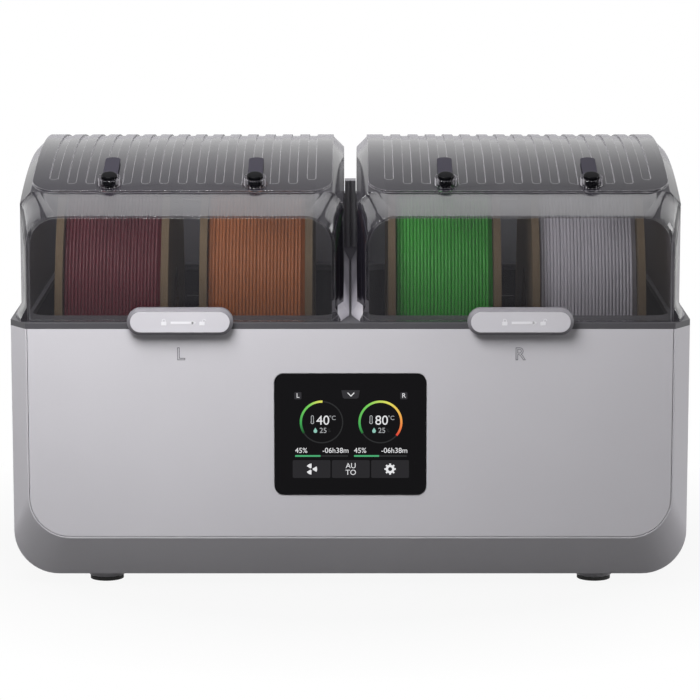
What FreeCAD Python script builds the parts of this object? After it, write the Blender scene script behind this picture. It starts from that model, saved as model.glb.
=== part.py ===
import FreeCAD
import Part
import Sketcher
import math
import os

from FreeCAD import Placement, Rotation, Vector

doc = FreeCAD.newDocument("filament_dryer")
sheet = doc.addObject("Spreadsheet::Sheet", "Sizes")
nodes = []
sheet_rows = []


# A number that remembers the sheet expression it came from


class Size:
    def __init__(self, value, text):
        self.value = value
        self.text = text

    def __add__(self, other):
        return Size(self.value + number(other), f"({self.text} + {words(other)})")

    def __radd__(self, other):
        return Size(number(other) + self.value, f"({words(other)} + {self.text})")

    def __sub__(self, other):
        return Size(self.value - number(other), f"({self.text} - {words(other)})")

    def __rsub__(self, other):
        return Size(number(other) - self.value, f"({words(other)} - {self.text})")

    def __mul__(self, other):
        return Size(self.value * number(other), f"({self.text} * {words(other)})")

    def __rmul__(self, other):
        return Size(number(other) * self.value, f"({words(other)} * {self.text})")

    def __truediv__(self, other):
        return Size(self.value / number(other), f"({self.text} / {words(other)})")

    def __neg__(self):
        return Size(-self.value, f"(0 - {self.text})")


def number(amount):
    return amount.value if isinstance(amount, Size) else amount


def words(amount):
    return amount.text if isinstance(amount, Size) else f"({amount:.9g})"


def root(amount):
    return Size(math.sqrt(amount.value), f"sqrt({amount.text})")


def whole(amount):
    return Size(math.floor(amount.value), f"floor({amount.text})")


def size(name, value):
    row = len(sheet_rows) + 1
    sheet_rows.append(name)
    sheet.set(f"A{row}", f"'{name}")
    cell = "=" + value.text.replace("Sizes.", "") if isinstance(value, Size) else str(value)
    sheet.set(f"B{row}", cell)
    sheet.setAlias(f"B{row}", name)
    return Size(float(number(value)), f"Sizes.{name}")


# Base: shell, front panel, deck and feet

body_width = size("body_width", 400)
body_depth = size("body_depth", 270)
body_height = size("body_height", 150)
body_corner = size("body_corner", 26.5)
shell_wall = size("shell_wall", 3)
bevel_depth = size("bevel_depth", 15)
bevel_side = size("bevel_side", 10)
bevel_drop = size("bevel_drop", 24.8)
rear_edge_radius = size("rear_edge_radius", 4)
panel_corner = size("panel_corner", 25)
panel_lip = size("panel_lip", 0.8)
panel_gap = size("panel_gap", 0.3)
panel_thickness = size("panel_thickness", 3)
seat_width = size("seat_width", 3)
seat_depth = size("seat_depth", 4)
deck_thickness = size("deck_thickness", 3.5)
foot_height = size("foot_height", 7)
foot_pad_height = size("foot_pad_height", 2.5)
foot_pad_radius = size("foot_pad_radius", 10)
foot_top_radius = size("foot_top_radius", 13.6)
foot_bottom_radius = size("foot_bottom_radius", 10.6)
foot_side = size("foot_side", 53.5)
foot_end = size("foot_end", 35)
foot_spacing_x = size("foot_spacing_x", body_width - 2 * foot_side)
foot_spacing_y = size("foot_spacing_y", body_depth - 2 * foot_end)
cover_side_gap = size("cover_side_gap", 2.9)
cover_end = size("cover_end", 37)
cover_width = size("cover_width", foot_spacing_x - 2 * (foot_top_radius + cover_side_gap))
cover_depth = size("cover_depth", body_depth - 2 * cover_end)
cover_thickness = size("cover_thickness", 2)
cover_gap = size("cover_gap", 0.3)
cover_ledge = size("cover_ledge", 8)
cover_corner = size("cover_corner", 12)
vent_width = size("vent_width", 3)
vent_length = size("vent_length", 52)
vent_pitch = size("vent_pitch", 6)
vent_count = size("vent_count", 7)
screw_radius = size("screw_radius", 1.5)
screw_head_radius = size("screw_head_radius", 2.9)
screw_head_height = size("screw_head_height", 1.7)
screw_clearance = size("screw_clearance", 0.05)
screw_boss_radius = size("screw_boss_radius", 3.4)
screw_boss_height = size("screw_boss_height", 7)

# Chambers under the deck

chamber_side = size("chamber_side", 10.7)
chamber_gap = size("chamber_gap", 18.6)
chamber_width = size("chamber_width", (body_width - 2 * chamber_side - chamber_gap) / 2)
chamber_pitch = size("chamber_pitch", chamber_width + chamber_gap)
chamber_setback = size("chamber_setback", 29)
rear_wall_depth = size("rear_wall_depth", 13.5)
chamber_tail = size("chamber_tail", 9.5)
chamber_depth = size("chamber_depth", body_depth - chamber_setback - rear_wall_depth - chamber_tail)
chamber_corner = size("chamber_corner", 12)
tub_wall = size("tub_wall", 2.5)
plenum_height = size("plenum_height", 30)
tub_height = size("tub_height", body_height - shell_wall - plenum_height)
grille_side = size("grille_side", 15)
grille_width = size("grille_width", chamber_width - 2 * grille_side)
grille_depth = size("grille_depth", 72)
grille_gap = size("grille_gap", 0.3)
grille_slot = size("grille_slot", 4)
grille_pitch = size("grille_pitch", 8)
grille_border = size("grille_border", 6)
grille_count = size(
    "grille_count",
    whole((grille_width - 2 * grille_border + grille_pitch - grille_slot) / grille_pitch),
)
seal_width = size("seal_width", 2.4)
seal_height = size("seal_height", 1.4)
seal_depth = size("seal_depth", 1.2)
seal_gap = size("seal_gap", 0.1)

# Spools, filament and rollers

spool_apart = size("spool_apart", 18.5)
spool_side = size("spool_side", 13.25)
spool_front_gap = size("spool_front_gap", 6)
spool_rear_gap = size("spool_rear_gap", 12)
spool_floor_gap = size("spool_floor_gap", 5)
spool_width = size("spool_width", (chamber_width - spool_apart) / 2 - spool_side)
spool_pitch = size("spool_pitch", spool_width + spool_apart)
spool_radius = size("spool_radius", (chamber_depth - spool_front_gap - spool_rear_gap) / 2)
spool_setback = size("spool_setback", chamber_setback + spool_front_gap + spool_radius)
spool_level = size(
    "spool_level",
    foot_height + shell_wall + plenum_height + tub_wall + spool_floor_gap + spool_radius,
)
spool_flange = size("spool_flange", 4.5)
spool_hub = size("spool_hub", 40)
spool_bore = size("spool_bore", 26.5)
filament_diameter = size("filament_diameter", 1.75)
rim_height = size("rim_height", 7)
filament_radius = size("filament_radius", spool_radius - rim_height)
filament_gap = size("filament_gap", 0.35)
filament_turns = size("filament_turns", 24)
filament_sides = size("filament_sides", 6)
roller_radius = size("roller_radius", 8)
roller_overhang = size("roller_overhang", 2.25)
roller_length = size("roller_length", spool_width + 2 * roller_overhang)
roller_waist = size("roller_waist", 6)
roller_tyre = size("roller_tyre", 10)
roller_rise = size("roller_rise", 12.914)
roller_gap = size("roller_gap", 0.3)
axle_radius = size("axle_radius", 3)
axle_clearance = size("axle_clearance", 0.05)
bracket_width = size("bracket_width", 16)
bracket_foot = size("bracket_foot", 2.5)
bracket_ear = size("bracket_ear", 3)
bracket_margin = size("bracket_margin", 6)
bracket_gap = size("bracket_gap", 0.4)

# Lids

lid_overlap = size("lid_overlap", 5.3)
lid_width = size("lid_width", chamber_width + 2 * lid_overlap)
lid_wall = size("lid_wall", 3)
lid_inset = size("lid_inset", 6)
lid_seat_gap = size("lid_seat_gap", 0.3)
lid_rear_gap = size("lid_rear_gap", 0.6)
lid_bottom = foot_height + body_height + deck_thickness + lid_seat_gap
spool_top_gap = size("spool_top_gap", 3.8)
crest_rise = size("crest_rise", spool_level + spool_radius + spool_top_gap + lid_wall - lid_bottom)
crest_shift = size("crest_shift", 5)
crest_setback = size("crest_setback", spool_setback + crest_shift)
window_drop = size("window_drop", 31.5)
window_rise = size("window_rise", crest_rise - window_drop)
window_corner = size("window_corner", 18)
band_depth = size("band_depth", 12)
band_side = size("band_side", 5)
band_corner = size("band_corner", 12)
arch_radius = size("arch_radius", 338)
arch_chamfer = size("arch_chamfer", 6.5)
flange_flare = size("flange_flare", 3.3)
flange_front = size("flange_front", 2)
flange_edge = size("flange_edge", 1.5)
flange_height = size("flange_height", 8)
visor_thickness = size("visor_thickness", 1.2)
visor_overhang = size("visor_overhang", 1.2)
visor_corner = size("visor_corner", 14)
groove_width = size("groove_width", 5.1)
groove_depth = size("groove_depth", 1)
groove_pitch = size("groove_pitch", 10.9)
groove_side = size("groove_side", 16)
groove_count = size(
    "groove_count",
    whole((lid_width - 2 * groove_side + groove_pitch - groove_width) / groove_pitch),
)
groove_setback = size("groove_setback", 9)

# Rear wall and lid hinges

rear_wall_drop = size("rear_wall_drop", 44)
rear_wall_height = size("rear_wall_height", crest_rise - rear_wall_drop)
rear_wall_skin = size("rear_wall_skin", 2.5)
rear_wall_corner = size("rear_wall_corner", 10)
pillar_width = size("pillar_width", 7.2)
pillar_rise = size("pillar_rise", 8.5)
pillar_height = size("pillar_height", rear_wall_height + pillar_rise)
hinge_rise = size("hinge_rise", 8)
hinge_offset = size("hinge_offset", 60)
knuckle_radius = size("knuckle_radius", 6)
knuckle_width = size("knuckle_width", 16)
lug_radius = size("lug_radius", 5.5)
lug_width = size("lug_width", 6)
lug_gap = size("lug_gap", 0.4)
pin_radius = size("pin_radius", 2)
pin_clearance = size("pin_clearance", 0.05)
rear_opening_drop = size("rear_opening_drop", 7.5)
rear_opening_rise = size("rear_opening_rise", rear_wall_height - rear_opening_drop)

# Outlet ports and their plugs

port_setback = size("port_setback", 30)
port_bore = size("port_bore", 3.3)
boss_radius = size("boss_radius", 6.6)
boss_bore = size("boss_bore", 5)
boss_height = size("boss_height", 4.4)
boss_floor = size("boss_floor", 0.2)
boss_depth = size("boss_depth", 5)
plug_clearance = size("plug_clearance", 0.3)
plug_head_height = size("plug_head_height", 5.8)
plug_head_round = size("plug_head_round", 1)
plug_stem_length = size("plug_stem_length", 4)
strap_width = size("strap_width", 8.8)
strap_length = size("strap_length", 45)
strap_thickness = size("strap_thickness", 1.5)

# Latches

latch_width = size("latch_width", 62)
latch_height = size("latch_height", 16)
latch_thickness = size("latch_thickness", 6)
latch_bevel = size("latch_bevel", 2)
latch_rise = size("latch_rise", 5)
latch_gap = size("latch_gap", 0.3)
latch_travel = size("latch_travel", 8)
stem_width = size("stem_width", 20)
stem_height = size("stem_height", 2)
foot_plate_width = size("foot_plate_width", 28)
foot_plate_height = size("foot_plate_height", 8.5)
foot_plate_thickness = size("foot_plate_thickness", 2)
tongue_width = size("tongue_width", 8)
tongue_height = size("tongue_height", 2.5)
tongue_rise = size("tongue_rise", 6.5)
tongue_clearance = size("tongue_clearance", 0.4)

# Screen and boards

glass_width = size("glass_width", 89)
glass_height = size("glass_height", 72.2)
glass_corner = size("glass_corner", 5.4)
glass_thickness = size("glass_thickness", 2)
glass_proud = size("glass_proud", 0.4)
glass_gap = size("glass_gap", 0.25)
glass_ledge = size("glass_ledge", 2)
screen_drop = size("screen_drop", 62.6)
module_margin = size("module_margin", 1)
module_thickness = size("module_thickness", 3.4)
board_thickness = size("board_thickness", 1.6)
control_width = size("control_width", 120)
control_height = size("control_height", 84)
chip_size = size("chip_size", 16)
chip_height = size("chip_height", 2.4)
power_width = size("power_width", 120)
power_height = size("power_height", 76)
power_drop = size("power_drop", 59)
power_level = size("power_level", foot_height + body_height - power_drop)
power_part_height = size("power_part_height", 10)
standoff_length = size("standoff_length", 12)
standoff_radius = size("standoff_radius", 3.5)
standoff_inset = size("standoff_inset", 6)
sensor_width = size("sensor_width", 16)
sensor_height = size("sensor_height", 20)
sensor_thickness = size("sensor_thickness", 4)
sensor_drop = size("sensor_drop", 27)
sensor_level = size("sensor_level", foot_height + body_height - sensor_drop)

# Inlet and switch at the back

inlet_side = size("inlet_side", 50)
inlet_offset = size("inlet_offset", body_width / 2 - inlet_side)
inlet_level = size("inlet_level", 22.6)
inlet_width = size("inlet_width", 27)
inlet_height = size("inlet_height", 20)
inlet_depth = size("inlet_depth", 20)
inlet_flange = size("inlet_flange", 2)
inlet_rim = size("inlet_rim", 2.2)
inlet_wall = size("inlet_wall", 2)
inlet_pin_width = size("inlet_pin_width", 2)
inlet_pin_height = size("inlet_pin_height", 4)
inlet_pin_pitch = size("inlet_pin_pitch", 7)
inlet_gap = size("inlet_gap", 0.2)
switch_pitch = size("switch_pitch", 32)
switch_offset = size("switch_offset", inlet_offset - switch_pitch)
switch_width = size("switch_width", 13)
switch_height = size("switch_height", 19)
switch_depth = size("switch_depth", 12)
switch_wall = size("switch_wall", 1.5)
rocker_radius = size("rocker_radius", 9)
rocker_gap = size("rocker_gap", 0.4)
rocker_tilt = size("rocker_tilt", 6)
rocker_pin_radius = size("rocker_pin_radius", 1.2)

# Heater and fan under each chamber

heater_overlap = size("heater_overlap", 5)
heater_width = size("heater_width", grille_width + 2 * heater_overlap)
heater_depth = size("heater_depth", grille_depth + 2 * heater_overlap)
heater_height = size("heater_height", 13.5)
heater_frame = size("heater_frame", 6)
fin_pitch = size("fin_pitch", 8)
fin_slot = size("fin_slot", 5)
fin_count = size(
    "fin_count",
    whole((heater_width - 2 * heater_frame + fin_pitch - fin_slot) / fin_pitch),
)
fan_side = size("fan_side", 80)
fan_corner = size("fan_corner", 5)
fan_bore = size("fan_bore", 37.5)
fan_strut = size("fan_strut", 5)
fan_strut_height = size("fan_strut_height", 2.5)
motor_radius = size("motor_radius", 15)
shaft_radius = size("shaft_radius", 2)
shaft_clearance = size("shaft_clearance", 0.05)
impeller_radius = size("impeller_radius", 35.5)
impeller_gap = size("impeller_gap", 0.4)
blade_thickness = size("blade_thickness", 1.6)
blade_chord = size("blade_chord", 10)
blade_count = size("blade_count", 7)

# Places worked out from the sizes above

frame_shift = (latch_gap + latch_thickness - inlet_flange) / 2
front = frame_shift - body_depth / 2
rear = frame_shift + body_depth / 2
body_floor = foot_height
floor_top = body_floor + shell_wall
body_top = body_floor + body_height
sill = body_top + deck_thickness
panel_half = body_width / 2 - bevel_side
panel_bottom = body_floor + bevel_drop
bevel_end = front + bevel_depth
deck_rear = rear - rear_wall_depth
chamber_front = front + chamber_setback
chamber_rear = chamber_front + chamber_depth
tub_bottom = body_top - tub_height
chamber_floor = tub_bottom + tub_wall
rear_wall_top = body_top + rear_wall_height
hinge_y = rear - rear_wall_depth / 2
hinge_z = rear_wall_top + hinge_rise
lid_front = front + lid_inset
lid_rear = deck_rear - lid_rear_gap
band_end = lid_front + band_depth
crest_y = front + crest_setback
crest_z = lid_bottom + crest_rise
arch_mid = crest_z - arch_radius
screen_z = body_top - screen_drop
spool_y = front + spool_setback
roller_reach = spool_radius + roller_gap + roller_radius
roller_z = chamber_floor + roller_rise
roller_drop = spool_level - roller_z
roller_spread = root(roller_reach * roller_reach - roller_drop * roller_drop)
sides = {"left": -1, "right": 1}


def arch_height(y, radius):
    return arch_mid + root(radius * radius - (y - crest_y) * (y - crest_y))


# Drawing helpers: every corner of an outline is tied to the sheet


def bind(item, name, amount):
    item.setExpression(name, words(amount))


def place(item, x=0, y=0, z=0, turn=None):
    if turn:
        item.Placement = Placement(Vector(), turn)
    for axis, amount in zip("xyz", (x, y, z)):
        bind(item, f"Placement.Base.{axis}", amount)


def dimension(kind, places, amount):
    return Sketcher.Constraint(kind, *places, number(amount)), amount


def constrain(sketch, plain, dimensions):
    first = len(plain)
    start = sketch.ConstraintCount
    sketch.addConstraint(plain + [item for item, _ in dimensions])
    for index, (_, amount) in enumerate(dimensions, start + first):
        if isinstance(amount, Size):
            sketch.setExpression(f"Constraints[{index}]", amount.text)


def arc_between(start, end, radius, turn):
    middle = (start + end) * 0.5
    chord = end - start
    half = chord.Length / 2
    rise = math.sqrt(max(radius * radius - half * half, 0))
    side = Vector(-chord.y, chord.x, 0).normalize() * rise * turn
    centre = middle + side
    first, last = (start, end) if turn > 0 else (end, start)
    angles = [math.atan2(p.y - centre.y, p.x - centre.x) for p in (first, last)]
    if angles[1] <= angles[0]:
        angles[1] += 2 * math.pi
    return Part.ArcOfCircle(Part.Circle(centre, Vector(0, 0, 1), radius), *angles)


def draw(sketch, path):
    corners = [Vector(number(p[0]), number(p[1]), 0) for p in path]
    edges, ends, dimensions = [], [], []
    first = sketch.GeometryCount
    for index, point in enumerate(path):
        start, end = corners[index], corners[(index + 1) % len(path)]
        edge = first + index
        if len(point) == 2:
            edges.append(Part.LineSegment(start, end))
            ends.append((edge, 1, 2))
            continue
        radius, turn = point[2]
        edges.append(arc_between(start, end, number(radius), turn))
        ends.append((edge, 1, 2) if turn > 0 else (edge, 2, 1))
        chord = end - start
        if chord.Length < 1.999 * number(radius):
            dimensions.append(dimension("Radius", (edge,), radius))
        elif abs(chord.y) < abs(chord.x):
            dimensions.append(dimension("DistanceY", (-1, 1, edge, 3), point[1]))
        else:
            dimensions.append(dimension("DistanceX", (-1, 1, edge, 3), point[0]))
    joints = []
    for index, (edge, start, end) in enumerate(ends):
        following, begin, _ = ends[(index + 1) % len(ends)]
        joints.append(Sketcher.Constraint("Coincident", edge, end, following, begin))
        dimensions.append(dimension("DistanceX", (-1, 1, edge, start), path[index][0]))
        dimensions.append(dimension("DistanceY", (-1, 1, edge, start), path[index][1]))
    sketch.addGeometry(edges, False)
    constrain(sketch, joints, dimensions)


def draw_circle(sketch, x, y, radius):
    centre = Vector(number(x), number(y), 0)
    circle = sketch.addGeometry(Part.Circle(centre, Vector(0, 0, 1), number(radius)), False)
    dimensions = [
        dimension("Radius", (circle,), radius),
        dimension("DistanceX", (-1, 1, circle, 3), x),
        dimension("DistanceY", (-1, 1, circle, 3), y),
    ]
    constrain(sketch, [], dimensions)


def rectangle(left, low, right, high):
    return [(left, low), (right, low), (right, high), (left, high)]


def rounded(left, low, right, high, radius):
    return [
        (left + radius, low),
        (right - radius, low, (radius, 1)),
        (right, low + radius),
        (right, high - radius, (radius, 1)),
        (right - radius, high),
        (left + radius, high, (radius, 1)),
        (left, high - radius),
        (left, low + radius, (radius, 1)),
    ]


def stadium(left, low, right, high):
    radius = (high - low) / 2
    return [
        (left + radius, low),
        (right - radius, low, (radius, 1)),
        (right - radius, high),
        (left + radius, high, (radius, 1)),
    ]


def trough(half, low, high, radius):
    return [
        (-half, high),
        (-half, low + radius, (radius, 1)),
        (radius - half, low),
        (half - radius, low, (radius, 1)),
        (half, low + radius),
        (half, high),
    ]


# Body helpers


def new_body(label, x=0, y=0, z=0, turn=None):
    body = doc.addObject("PartDesign::Body", label)
    place(body, x, y, z, turn)
    nodes.append(body)
    return body


def sketch_in(body, plane, offset, *paths):
    sketch = body.newObject("Sketcher::SketchObject", f"{body.Name}_outline")
    support = next(p for p in body.Origin.OriginFeatures if p.Role == f"{plane}_Plane")
    sketch.AttachmentSupport = [(support, "")]
    sketch.MapMode = "FlatFace"
    bind(sketch, "AttachmentOffset.Base.z", offset)
    for path in paths:
        if isinstance(path, tuple):
            draw_circle(sketch, *path)
        else:
            draw(sketch, path)
    return sketch


def pad(body, sketch, length, reverse=False, both=False):
    feature = body.newObject("PartDesign::Pad", f"{body.Name}_pad")
    feature.Profile = sketch
    feature.Reversed = reverse
    feature.SideType = "Symmetric" if both else "One side"
    bind(feature, "Length", length)
    return feature


def pocket(body, sketch, length, reverse=False, both=False):
    feature = body.newObject("PartDesign::Pocket", f"{body.Name}_pocket")
    feature.Profile = sketch
    feature.Reversed = reverse
    feature.SideType = "Symmetric" if both else "One side"
    bind(feature, "Length", length)
    return feature


def revolve(body, sketch, axis):
    feature = body.newObject("PartDesign::Revolution", f"{body.Name}_turn")
    feature.Profile = sketch
    feature.ReferenceAxis = (sketch, [axis])
    feature.Angle = 360
    return feature


def loft(body, kind, first, last):
    feature = body.newObject(f"PartDesign::{kind}Loft", f"{body.Name}_loft")
    feature.Profile = first
    feature.Sections = [last]
    feature.Ruled = True
    return feature


def repeat(body, feature, sketch, axis, pitch, count):
    row = body.newObject("PartDesign::LinearPattern", f"{body.Name}_row")
    row.Originals = [feature]
    row.Direction = (sketch, [axis])
    row.Mode = "Spacing"
    bind(row, "Offset", pitch)
    bind(row, "Occurrences", count)
    body.Tip = row
    return row


def edge_names(shape, wanted):
    return [f"Edge{i + 1}" for i, edge in enumerate(shape.Edges) if wanted(edge)]


def soften(body, kind, feature, amount, wanted):
    doc.recompute()
    finish = body.newObject(f"PartDesign::{kind}", f"{body.Name}_edges")
    finish.Base = (feature, edge_names(feature.Shape, wanted))
    bind(finish, "Radius" if kind == "Fillet" else "Size", amount)
    return finish


def in_plane(edge, axis, amount):
    box = edge.BoundBox
    low, high = getattr(box, f"{axis}Min"), getattr(box, f"{axis}Max")
    return abs(low - number(amount)) < 0.01 and abs(high - number(amount)) < 0.01


# Helpers for pieces put together from plain solids

plane_turns = {
    "XY": Rotation(),
    "XZ": Rotation(Vector(1, 0, 0), 90),
    "YZ": Rotation(Vector(1, 1, 1), 120),
}
plane_normals = {"XY": (0, 0, 1), "XZ": (0, -1, 0), "YZ": (1, 0, 0)}


def outline(name, plane, offset, *paths):
    sketch = doc.addObject("Sketcher::SketchObject", name)
    place(sketch, *[offset * axis for axis in plane_normals[plane]], plane_turns[plane])
    for path in paths:
        draw(sketch, path)
    return sketch


def prism(name, plane, offset, length, *paths, both=False):
    block = doc.addObject("Part::Extrusion", name)
    block.Base = outline(f"{name}_outline", plane, offset, *paths)
    block.DirMode = "Normal"
    block.Solid = True
    block.Symmetric = both
    bind(block, "LengthFwd", length)
    return block


def ruled(name, *outlines):
    body = doc.addObject("Part::Loft", name)
    body.Sections = list(outlines)
    body.Solid = True
    body.Ruled = True
    return body


def box(name, length, width, height, x, y, z):
    block = doc.addObject("Part::Box", name)
    for key, amount in (("Length", length), ("Width", width), ("Height", height)):
        bind(block, key, amount)
    place(block, x, y, z)
    return block


def rod(name, radius, height, x, y, z, turn=None):
    block = doc.addObject("Part::Cylinder", name)
    bind(block, "Radius", radius)
    bind(block, "Height", height)
    place(block, x, y, z, turn)
    return block


def fuse(name, *pieces):
    whole = doc.addObject("Part::MultiFuse", name)
    whole.Shapes = list(pieces)
    return whole


def common(name, *pieces):
    shared = doc.addObject("Part::MultiCommon", name)
    shared.Shapes = list(pieces)
    return shared


def cut(name, base, *tools):
    rest = doc.addObject("Part::Cut", name)
    rest.Base = base
    rest.Tool = tools[0] if len(tools) == 1 else fuse(f"{name}_tools", *tools)
    return rest


def group(name, *pieces):
    bunch = doc.addObject("Part::Compound", name)
    bunch.Links = list(pieces)
    nodes.append(bunch)
    return bunch


def node(piece, x=0):
    place(piece, x)
    nodes.append(piece)
    return piece


along_x = Rotation(Vector(0, 1, 0), 90)


# Base shell: bevelled front, open top, recess for the bottom cover

cover_places = [
    (column * (cover_width - cover_ledge) / 2, spool_y + row * (cover_depth - cover_ledge) / 2)
    for column in (-1, 0, 1)
    for row in (-1, 1)
]


def cover_outline(margin):
    return rounded(
        -cover_width / 2 - margin,
        spool_y - cover_depth / 2 - margin,
        cover_width / 2 + margin,
        spool_y + cover_depth / 2 + margin,
        cover_corner + margin,
    )


def opening_at_rear(body, x, z, width, height):
    hole = rectangle(x - width / 2, z - height / 2, x + width / 2, z + height / 2)
    pocket(body, sketch_in(body, "XZ", -rear, hole), shell_wall, reverse=True)


def make_base_shell():
    body = new_body("base_shell")
    half = body_width / 2
    full = trough(half, body_floor, body_top, body_corner)
    face = trough(panel_half, panel_bottom, body_top, panel_corner)
    loft(
        body,
        "Additive",
        sketch_in(body, "XZ", -front, face),
        sketch_in(body, "XZ", -bevel_end, full),
    )
    back = pad(body, sketch_in(body, "XZ", -bevel_end, full), rear - bevel_end, reverse=True)
    soften(
        body,
        "Fillet",
        back,
        rear_edge_radius,
        lambda edge: in_plane(edge, "Y", rear) and not in_plane(edge, "Z", body_top),
    )
    seat = panel_lip
    recess = trough(panel_half - seat, panel_bottom + seat, sill, panel_corner - seat)
    pocket(body, sketch_in(body, "XZ", -front, recess), panel_thickness)
    seat = panel_lip + seat_width
    mouth = trough(panel_half - seat, panel_bottom + seat, sill, panel_corner - seat)
    pocket(body, sketch_in(body, "XZ", -front, mouth), panel_thickness + seat_depth)
    share = (panel_thickness + seat_depth) / bevel_depth
    seat_end = front + panel_thickness + seat_depth
    room_start = bevel_end + shell_wall
    room = trough(half - shell_wall, floor_top, sill, body_corner - shell_wall)
    throat = trough(
        panel_half + bevel_side * share - shell_wall * 1.5,
        panel_bottom - bevel_drop * share + shell_wall * 2,
        sill,
        panel_corner,
    )
    loft(
        body,
        "Subtractive",
        sketch_in(body, "XZ", -seat_end, throat),
        sketch_in(body, "XZ", -room_start, room),
    )
    pocket(body, sketch_in(body, "XZ", -room_start, room), rear - shell_wall - room_start)
    for margin, depth in ((cover_gap, cover_thickness), (-cover_ledge, shell_wall)):
        hole = sketch_in(body, "XY", body_floor, cover_outline(margin))
        pocket(body, hole, depth, reverse=True)
    bosses = [(x, y, screw_boss_radius) for x, y in cover_places]
    pad(body, sketch_in(body, "XY", floor_top, *bosses), screw_boss_height)
    holes = [(x, y, screw_radius + screw_clearance) for x, y in cover_places]
    pocket(
        body,
        sketch_in(body, "XY", body_floor, *holes),
        shell_wall + screw_boss_height / 2,
        reverse=True,
    )
    reach_x = power_width / 2 - standoff_inset
    reach_z = power_height / 2 - standoff_inset
    standoffs = [
        (column * reach_x, power_level + row * reach_z, standoff_radius)
        for column in (-1, 1)
        for row in (-1, 1)
    ]
    pad(body, sketch_in(body, "XZ", shell_wall - rear, *standoffs), standoff_length)
    opening_at_rear(
        body,
        inlet_offset,
        inlet_level,
        inlet_width + 2 * inlet_gap,
        inlet_height + 2 * inlet_gap,
    )
    opening_at_rear(
        body,
        switch_offset,
        inlet_level,
        switch_width + 2 * switch_wall + 2 * inlet_gap,
        switch_height + 2 * switch_wall + 2 * inlet_gap,
    )


def make_front_panel():
    body = new_body("front_panel")
    inset = panel_lip + panel_gap
    face = trough(panel_half - inset, panel_bottom + inset, body_top, panel_corner - inset)
    pad(body, sketch_in(body, "XZ", -front, face), panel_thickness, reverse=True)
    for margin, depth in (
        (glass_gap, glass_thickness - glass_proud),
        (-glass_ledge, panel_thickness),
    ):
        pocket(body, sketch_in(body, "XZ", -front, glass_outline(margin)), depth)
    for side in sides.values():
        x = side * chamber_pitch / 2
        notch = rectangle(
            x - stem_width / 2 - latch_travel - latch_gap,
            body_top - stem_height - 2 * latch_gap,
            x + stem_width / 2 + latch_gap,
            sill,
        )
        pocket(body, sketch_in(body, "XZ", -front, notch), panel_thickness)


def glass_outline(margin):
    half = glass_width / 2 + margin
    rise = glass_height / 2 + margin
    return rounded(-half, screen_z - rise, half, screen_z + rise, glass_corner + margin)


def make_screen():
    glass = new_body("screen_glass")
    pad(
        glass,
        sketch_in(glass, "XZ", glass_proud - front, glass_outline(0)),
        glass_thickness,
        reverse=True,
    )
    module_front = front + glass_thickness - glass_proud
    margin = glass_ledge + module_margin
    module = new_body("display_module")
    face = rectangle(
        margin - glass_width / 2,
        screen_z - glass_height / 2 + margin,
        glass_width / 2 - margin,
        screen_z + glass_height / 2 - margin,
    )
    pad(module, sketch_in(module, "XZ", -module_front, face), module_thickness, reverse=True)
    board_front = module_front + module_thickness
    board = new_body("control_board")
    plate = rectangle(
        -control_width / 2,
        screen_z - control_height / 2,
        control_width / 2,
        screen_z + control_height / 2,
    )
    pad(board, sketch_in(board, "XZ", -board_front, plate), board_thickness, reverse=True)
    board_back = board_front + board_thickness
    chips = [
        rectangle(
            column * control_width / 3 - chip_size / 2,
            screen_z + row * control_height / 4 - chip_size / 2,
            column * control_width / 3 + chip_size / 2,
            screen_z + row * control_height / 4 + chip_size / 2,
        )
        for column, row in ((-1, 1), (0, 0), (1, -1))
    ]
    pad(board, sketch_in(board, "XZ", -board_back, *chips), chip_height, reverse=True)


# Deck, rear wall and seals


def seal_outline(x, margin):
    middle = (lid_width - lid_wall) / 2
    outer = middle + seal_width / 2 + margin
    inner = middle - seal_width / 2 - margin
    near = lid_front + (lid_wall - seal_width) / 2 - margin
    far = near + seal_width + 2 * margin
    end = lid_rear - lid_wall + margin
    return [
        (x - outer, end),
        (x - outer, band_end),
        (x - outer + band_side, near),
        (x + outer - band_side, near),
        (x + outer, band_end),
        (x + outer, end),
        (x + inner, end),
        (x + inner, band_end),
        (x + inner - band_side, far),
        (x - inner + band_side, far),
        (x - inner, band_end),
        (x - inner, end),
    ]


def make_deck():
    halves = []
    for name, side in sides.items():
        x = side * chamber_pitch / 2
        edge = side * body_width / 2
        plan = [(0, front), (side * panel_half, front), (edge, bevel_end), (edge, deck_rear), (0, deck_rear)]
        mouth = rounded(
            x - chamber_width / 2,
            chamber_front,
            x + chamber_width / 2,
            chamber_rear,
            chamber_corner,
        )
        half = prism(f"deck_{name}_plate", "XY", body_top, deck_thickness, plan)
        opening = prism(f"deck_{name}_mouth", "XY", body_top, deck_thickness, mouth)
        groove = prism(f"deck_{name}_groove", "XY", sill - seal_depth, seal_depth, seal_outline(x, seal_gap))
        halves.append(cut(f"deck_{name}", half, opening, groove))
        seal = new_body(f"lid_seal_{name}", x)
        pad(seal, sketch_in(seal, "XY", sill - seal_depth, seal_outline(0, 0)), seal_height)
    group("top_deck", *halves)


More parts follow.
